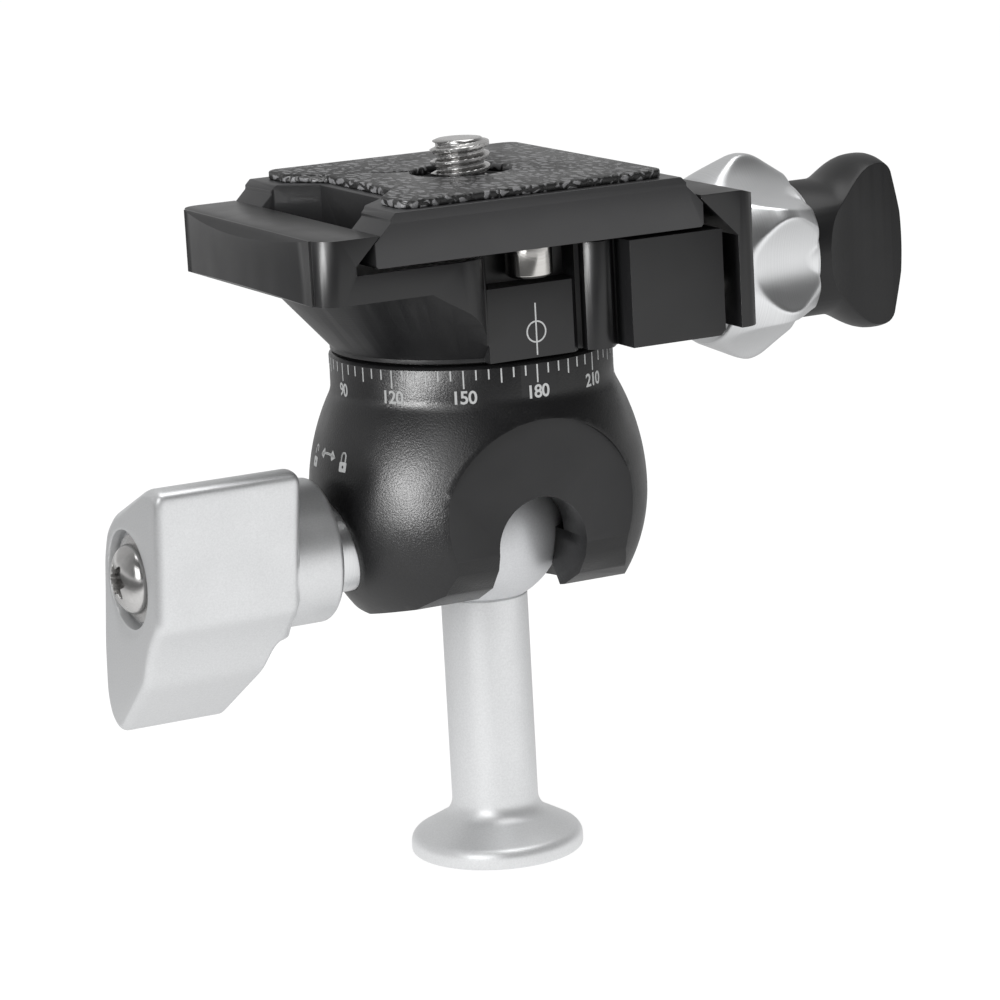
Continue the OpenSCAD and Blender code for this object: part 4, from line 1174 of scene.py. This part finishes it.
@dataclass
class CameraScrew(Assembly):
    """The quarter-inch camera screw and the folding ring that turns it."""

    low_z: float = 69.094
    flange_r: float = 8.0
    flange_t: float = 1.6
    waist_r: float = 2.6
    waist_end: float = 73.294
    top: float = 77.994
    thread: Thread = Thread(3.175, 2.55, 1.27)
    ring_z: float = 68.644
    ring_wire: float = 0.4
    ring_reach: float = 12.2
    ring_half: float = 4.4

    def build(self) -> None:
        """Builds the screw with its thread, and the ring."""
        foot = rounded(
            [(self.low_z, 0), (self.low_z, self.flange_r), (self.low_z + self.flange_t, self.flange_r),
             (self.low_z + self.flange_t, self.waist_r), (self.waist_end, self.waist_r)],
            [0, 0.2, 0.2, 0.1, 0], 3,
        )  # fmt: skip
        places = np.linspace(self.waist_end, self.top - 0.02, 90)
        keep = np.clip((places - self.waist_end) / 0.4, 0, 1) * np.clip((self.top - places) / 0.35, 0, 1)
        plain = np.interp(places, [self.waist_end, self.top - 0.7, self.top], [self.waist_r, 2.75, 2.35])
        shank = self.thread.rings(places, keep, plain)
        crown = turned(np.array([[self.top, 2.2], [self.top, 1.2], [self.top, 0.0]]), sides=72)
        Shell("camera_screw_threaded", "camera_screw", STAINLESS_SCREW, ("camera_screw",), "stainless", 36).rings(
            np.concatenate([turned(foot, sides=72), shank, crown])
        )
        t = np.linspace(0, math.pi, 40)
        bow = self.ring_half * np.stack([1 - np.sin(t), np.cos(t)], -1) - [self.ring_reach, 0]
        bar = rounded([(0, -self.ring_half + 0.6), (0, -self.ring_half), (-0.6, -self.ring_half)], 0.5, 6)
        flat = np.concatenate([bar * [1, -1], bow, bar[::-1]])
        path = np.column_stack([flat, np.full(len(flat), self.ring_z)])
        Shell("screw_fold_ring", "camera_screw", STAINLESS, ("screw_d_ring",), "stainless", 60).rings(
            tube(path, self.ring_wire, 16), closed=True
        )


def by_ray(tree: Tree, output: str, plain: Node, mirrored: Node, seen: Node) -> None:
    """Joins three looks of the room by the ray that meets them.

    Args:
        tree: the material's or world's node tree.
        output: the name of its output node.
        plain: the shader for rays that light the object.
        mirrored: the shader for mirrored rays.
        seen: the shader for rays from the camera and through glass.
    """
    rays = add(tree, "LightPath").outputs
    eye = add(tree, "Math", {0: rays["Is Camera Ray"], 1: rays["Is Transmission Ray"]}, operation="MAXIMUM")
    inner = add(tree, "MixShader", {0: rays["Is Glossy Ray"], 1: plain, 2: mirrored})
    feed(tree, tree.nodes[output], {"Surface": add(tree, "MixShader", {0: eye, 1: inner, 2: seen})})


@dataclass
class Studio:
    """A white sweep, soft lamps and the camera at the photograph's angle.

    The camera looks at the aim point in mm from that azimuth and elevation, distance mm away, rolled by
    roll degrees. Its lens is in mm on a 36 mm wide sensor. plain is the level that lights the object, and
    the dim and pool levels are what it mirrors. pool_edge, fade_from and fade_to are in metres, and key is
    the left box's power in watts, which lights the black pieces but not the shaded one.
    """

    aim: Point = (3.07, 1.03, 38.15)
    azimuth: float = -26.86
    elevation: float = 12.27
    distance: float = 426.75
    roll: float = -3.1
    lens: float = 141.9
    plain: float = 0.95
    dim_front: float = 0.08
    dim_back: float = 0.55
    pool_front: float = 1.2
    pool_back: float = 0.55
    pool_far: float = 0.12
    pool_edge: float = 0.07
    fade_lean: float = 0.9
    fade_from: float = 0.10
    fade_to: float = 0.19
    floor_glow: float = 0.9
    floor_half: float = 3.0
    key: float = 7.0
    shaded: str = "dovetail_plate"
    black: tuple[Finish, ...] = (BLACK_HOUSING, BLACK_CLAMP, BLACK_PLATE, BLACK_KNOB, RUBBER)

    def world(self) -> None:
        """Lights the room.

        Rays from the camera and through glass see plain white. Mirrored rays see the white sweep up to the
        horizon and a dim room above it, brighter at the back than at the front. All others meet one plain
        level.
        """
        world = bpy.data.worlds.new("studio_room")
        bpy.context.scene.world = world
        world.use_nodes = True
        tree = world.node_tree
        room = feed(tree, tree.nodes["Background"], {"Color": WHITE, "Strength": self.plain})
        axes = add(tree, "SeparateXYZ", {0: add(tree, "TexCoord").outputs["Generated"]}).outputs
        dim = add(tree, "MapRange", {0: axes["Y"], 1: -0.5, 2: 0.7, 3: self.dim_front, 4: self.dim_back})
        above = add(tree, "MapRange", {0: axes["Z"], 1: 0.0, 2: 0.14}, interpolation_type="SMOOTHSTEP")
        level = add(tree, "Mix", {0: above, 2: 1.0, 3: dim})
        mirrored = add(tree, "Background", {"Color": level, "Strength": 1.0})
        white = add(tree, "Background", {"Color": WHITE, "Strength": 1.0})
        by_ray(tree, "World Output", room, mirrored, white)

    def floor(self) -> None:
        """Lays the white sweep under the foot.

        The camera sees it white with a faint shadow. Mirrored rays see its pool of light, which is fullest
        in front of the object and on its right, and falls off behind it and far towards the camera.
        """
        half = self.floor_half
        mesh = bpy.data.meshes.new("studio_floor")
        mesh.from_pydata([(-half, -half, 0), (half, -half, 0), (half, half, 0), (-half, half, 0)], [], [(0, 1, 2, 3)])
        made = bpy.data.materials.new("paper_white_sweep")
        made.use_nodes = True
        tree = made.node_tree
        matt = add(tree, "BsdfDiffuse", {"Color": WHITE})
        glow = add(tree, "Emission", {"Color": WHITE, "Strength": 1.03})
        plain = add(tree, "Emission", {"Color": WHITE, "Strength": self.plain})
        x, y = math.sin(math.radians(self.azimuth)), -math.cos(math.radians(self.azimuth))
        slant = (x + self.fade_lean * y, y - self.fade_lean * x, 0.0)
        place = add(tree, "TexCoord").outputs["Object"]
        ahead, aside = (
            add(tree, "VectorMath", {0: place, 1: way}, operation="DOT_PRODUCT").outputs["Value"]
            for way in ((x, y, 0.0), slant)
        )
        edge = {0: ahead, 1: -self.pool_edge, 2: self.pool_edge, 3: self.pool_back, 4: self.pool_front}
        far = {0: aside, 1: self.fade_from, 2: self.fade_to, 3: 1.0, 4: self.pool_far}
        pool, fade = (add(tree, "MapRange", span, interpolation_type="SMOOTHSTEP") for span in (edge, far))
        level = add(tree, "Math", {0: pool, 1: fade}, operation="MULTIPLY")
        lit = add(tree, "Emission", {"Color": WHITE, "Strength": level})
        seen = add(tree, "MixShader", {0: self.floor_glow, 1: matt, 2: glow})
        by_ray(tree, "Material Output", plain, lit, seen)
        mesh.materials.append(made)
        linked("studio_floor", mesh)

    def lamp(self, name: str, place: Point, size: float, power: float) -> bpy.types.Object:
        """Hangs a square soft box that looks at the object and that the camera doesn't see.

        Args:
            name: the lamp's name.
            place: where it hangs, in mm.
            size: its side in mm.
            power: its power in watts.

        Returns:
            The lamp.
        """
        light = bpy.data.lights.new(name, "AREA")
        light.shape, light.size, light.energy = "SQUARE", size * MM, power
        lamp = linked(name, light)
        lamp.location = Vector(place) * MM
        lamp.visible_camera = False
        lamp.rotation_euler = (Vector((0, 0, 45 * MM)) - lamp.location).to_track_quat("-Z", "Y").to_euler()
        return lamp

    def light_black_pieces(self) -> None:
        """Hangs the strong box that draws the soft spot on the black pieces, and lights only those."""
        lamp = self.lamp("soft_box_left", (-530, -150, 30), 240, self.key)
        lit = bpy.data.collections.new("black_pieces")
        black = {finish.name for finish in self.black}
        for piece in bpy.context.scene.objects:
            if piece.name == self.shaded or piece.type != "MESH" or not piece.data.materials:
                continue
            if piece.data.materials[0].name in black:
                lit.objects.link(piece)
        lamp.light_linking.receiver_collection = lit

    def camera(self) -> None:
        """Sets up the camera from the azimuth, elevation, distance and roll."""
        a, e, roll = map(math.radians, (self.azimuth, self.elevation, self.roll))
        back = Vector((math.sin(a) * math.cos(e), -math.cos(a) * math.cos(e), math.sin(e)))
        right = Vector((math.cos(a), math.sin(a), 0))
        up = back.cross(right)
        data = bpy.data.cameras.new("photo_camera")
        data.lens, data.sensor_width = self.lens, 36.0
        data.clip_start, data.clip_end = 0.02, 20.0
        camera = linked("photo_camera", data)
        side = right * math.cos(roll) + up * math.sin(roll)
        top = up * math.cos(roll) - right * math.sin(roll)
        turn = Matrix((side, top, back)).transposed().to_4x4()
        camera.matrix_world = Matrix.Translation((Vector(self.aim) + back * self.distance) * MM) @ turn
        bpy.context.scene.camera = camera

    def build(self) -> None:
        """Sets up the whole studio."""
        bpy.context.scene.view_settings.view_transform = "Standard"
        self.camera()
        self.world()
        self.floor()
        self.lamp("soft_box_front_left", (-420, -330, 240), 300, 0.9)
        self.lamp("soft_box_top", (60, -60, 540), 420, 1.6)


def main() -> None:
    """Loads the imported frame, builds each sub-assembly in order and reports it."""
    logging.basicConfig(level=logging.INFO, format="%(name)s %(message)s")
    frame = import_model()
    studio = Studio()
    studio.build()
    for kind in (Stem, Ball, Housing, BallLock, Clamp, Jaw, RingKnob, WingKnob, Plate, CameraScrew):
        kind(frame["nodes"]).build()
    studio.light_black_pieces()


if __name__ == "__main__":
    main()
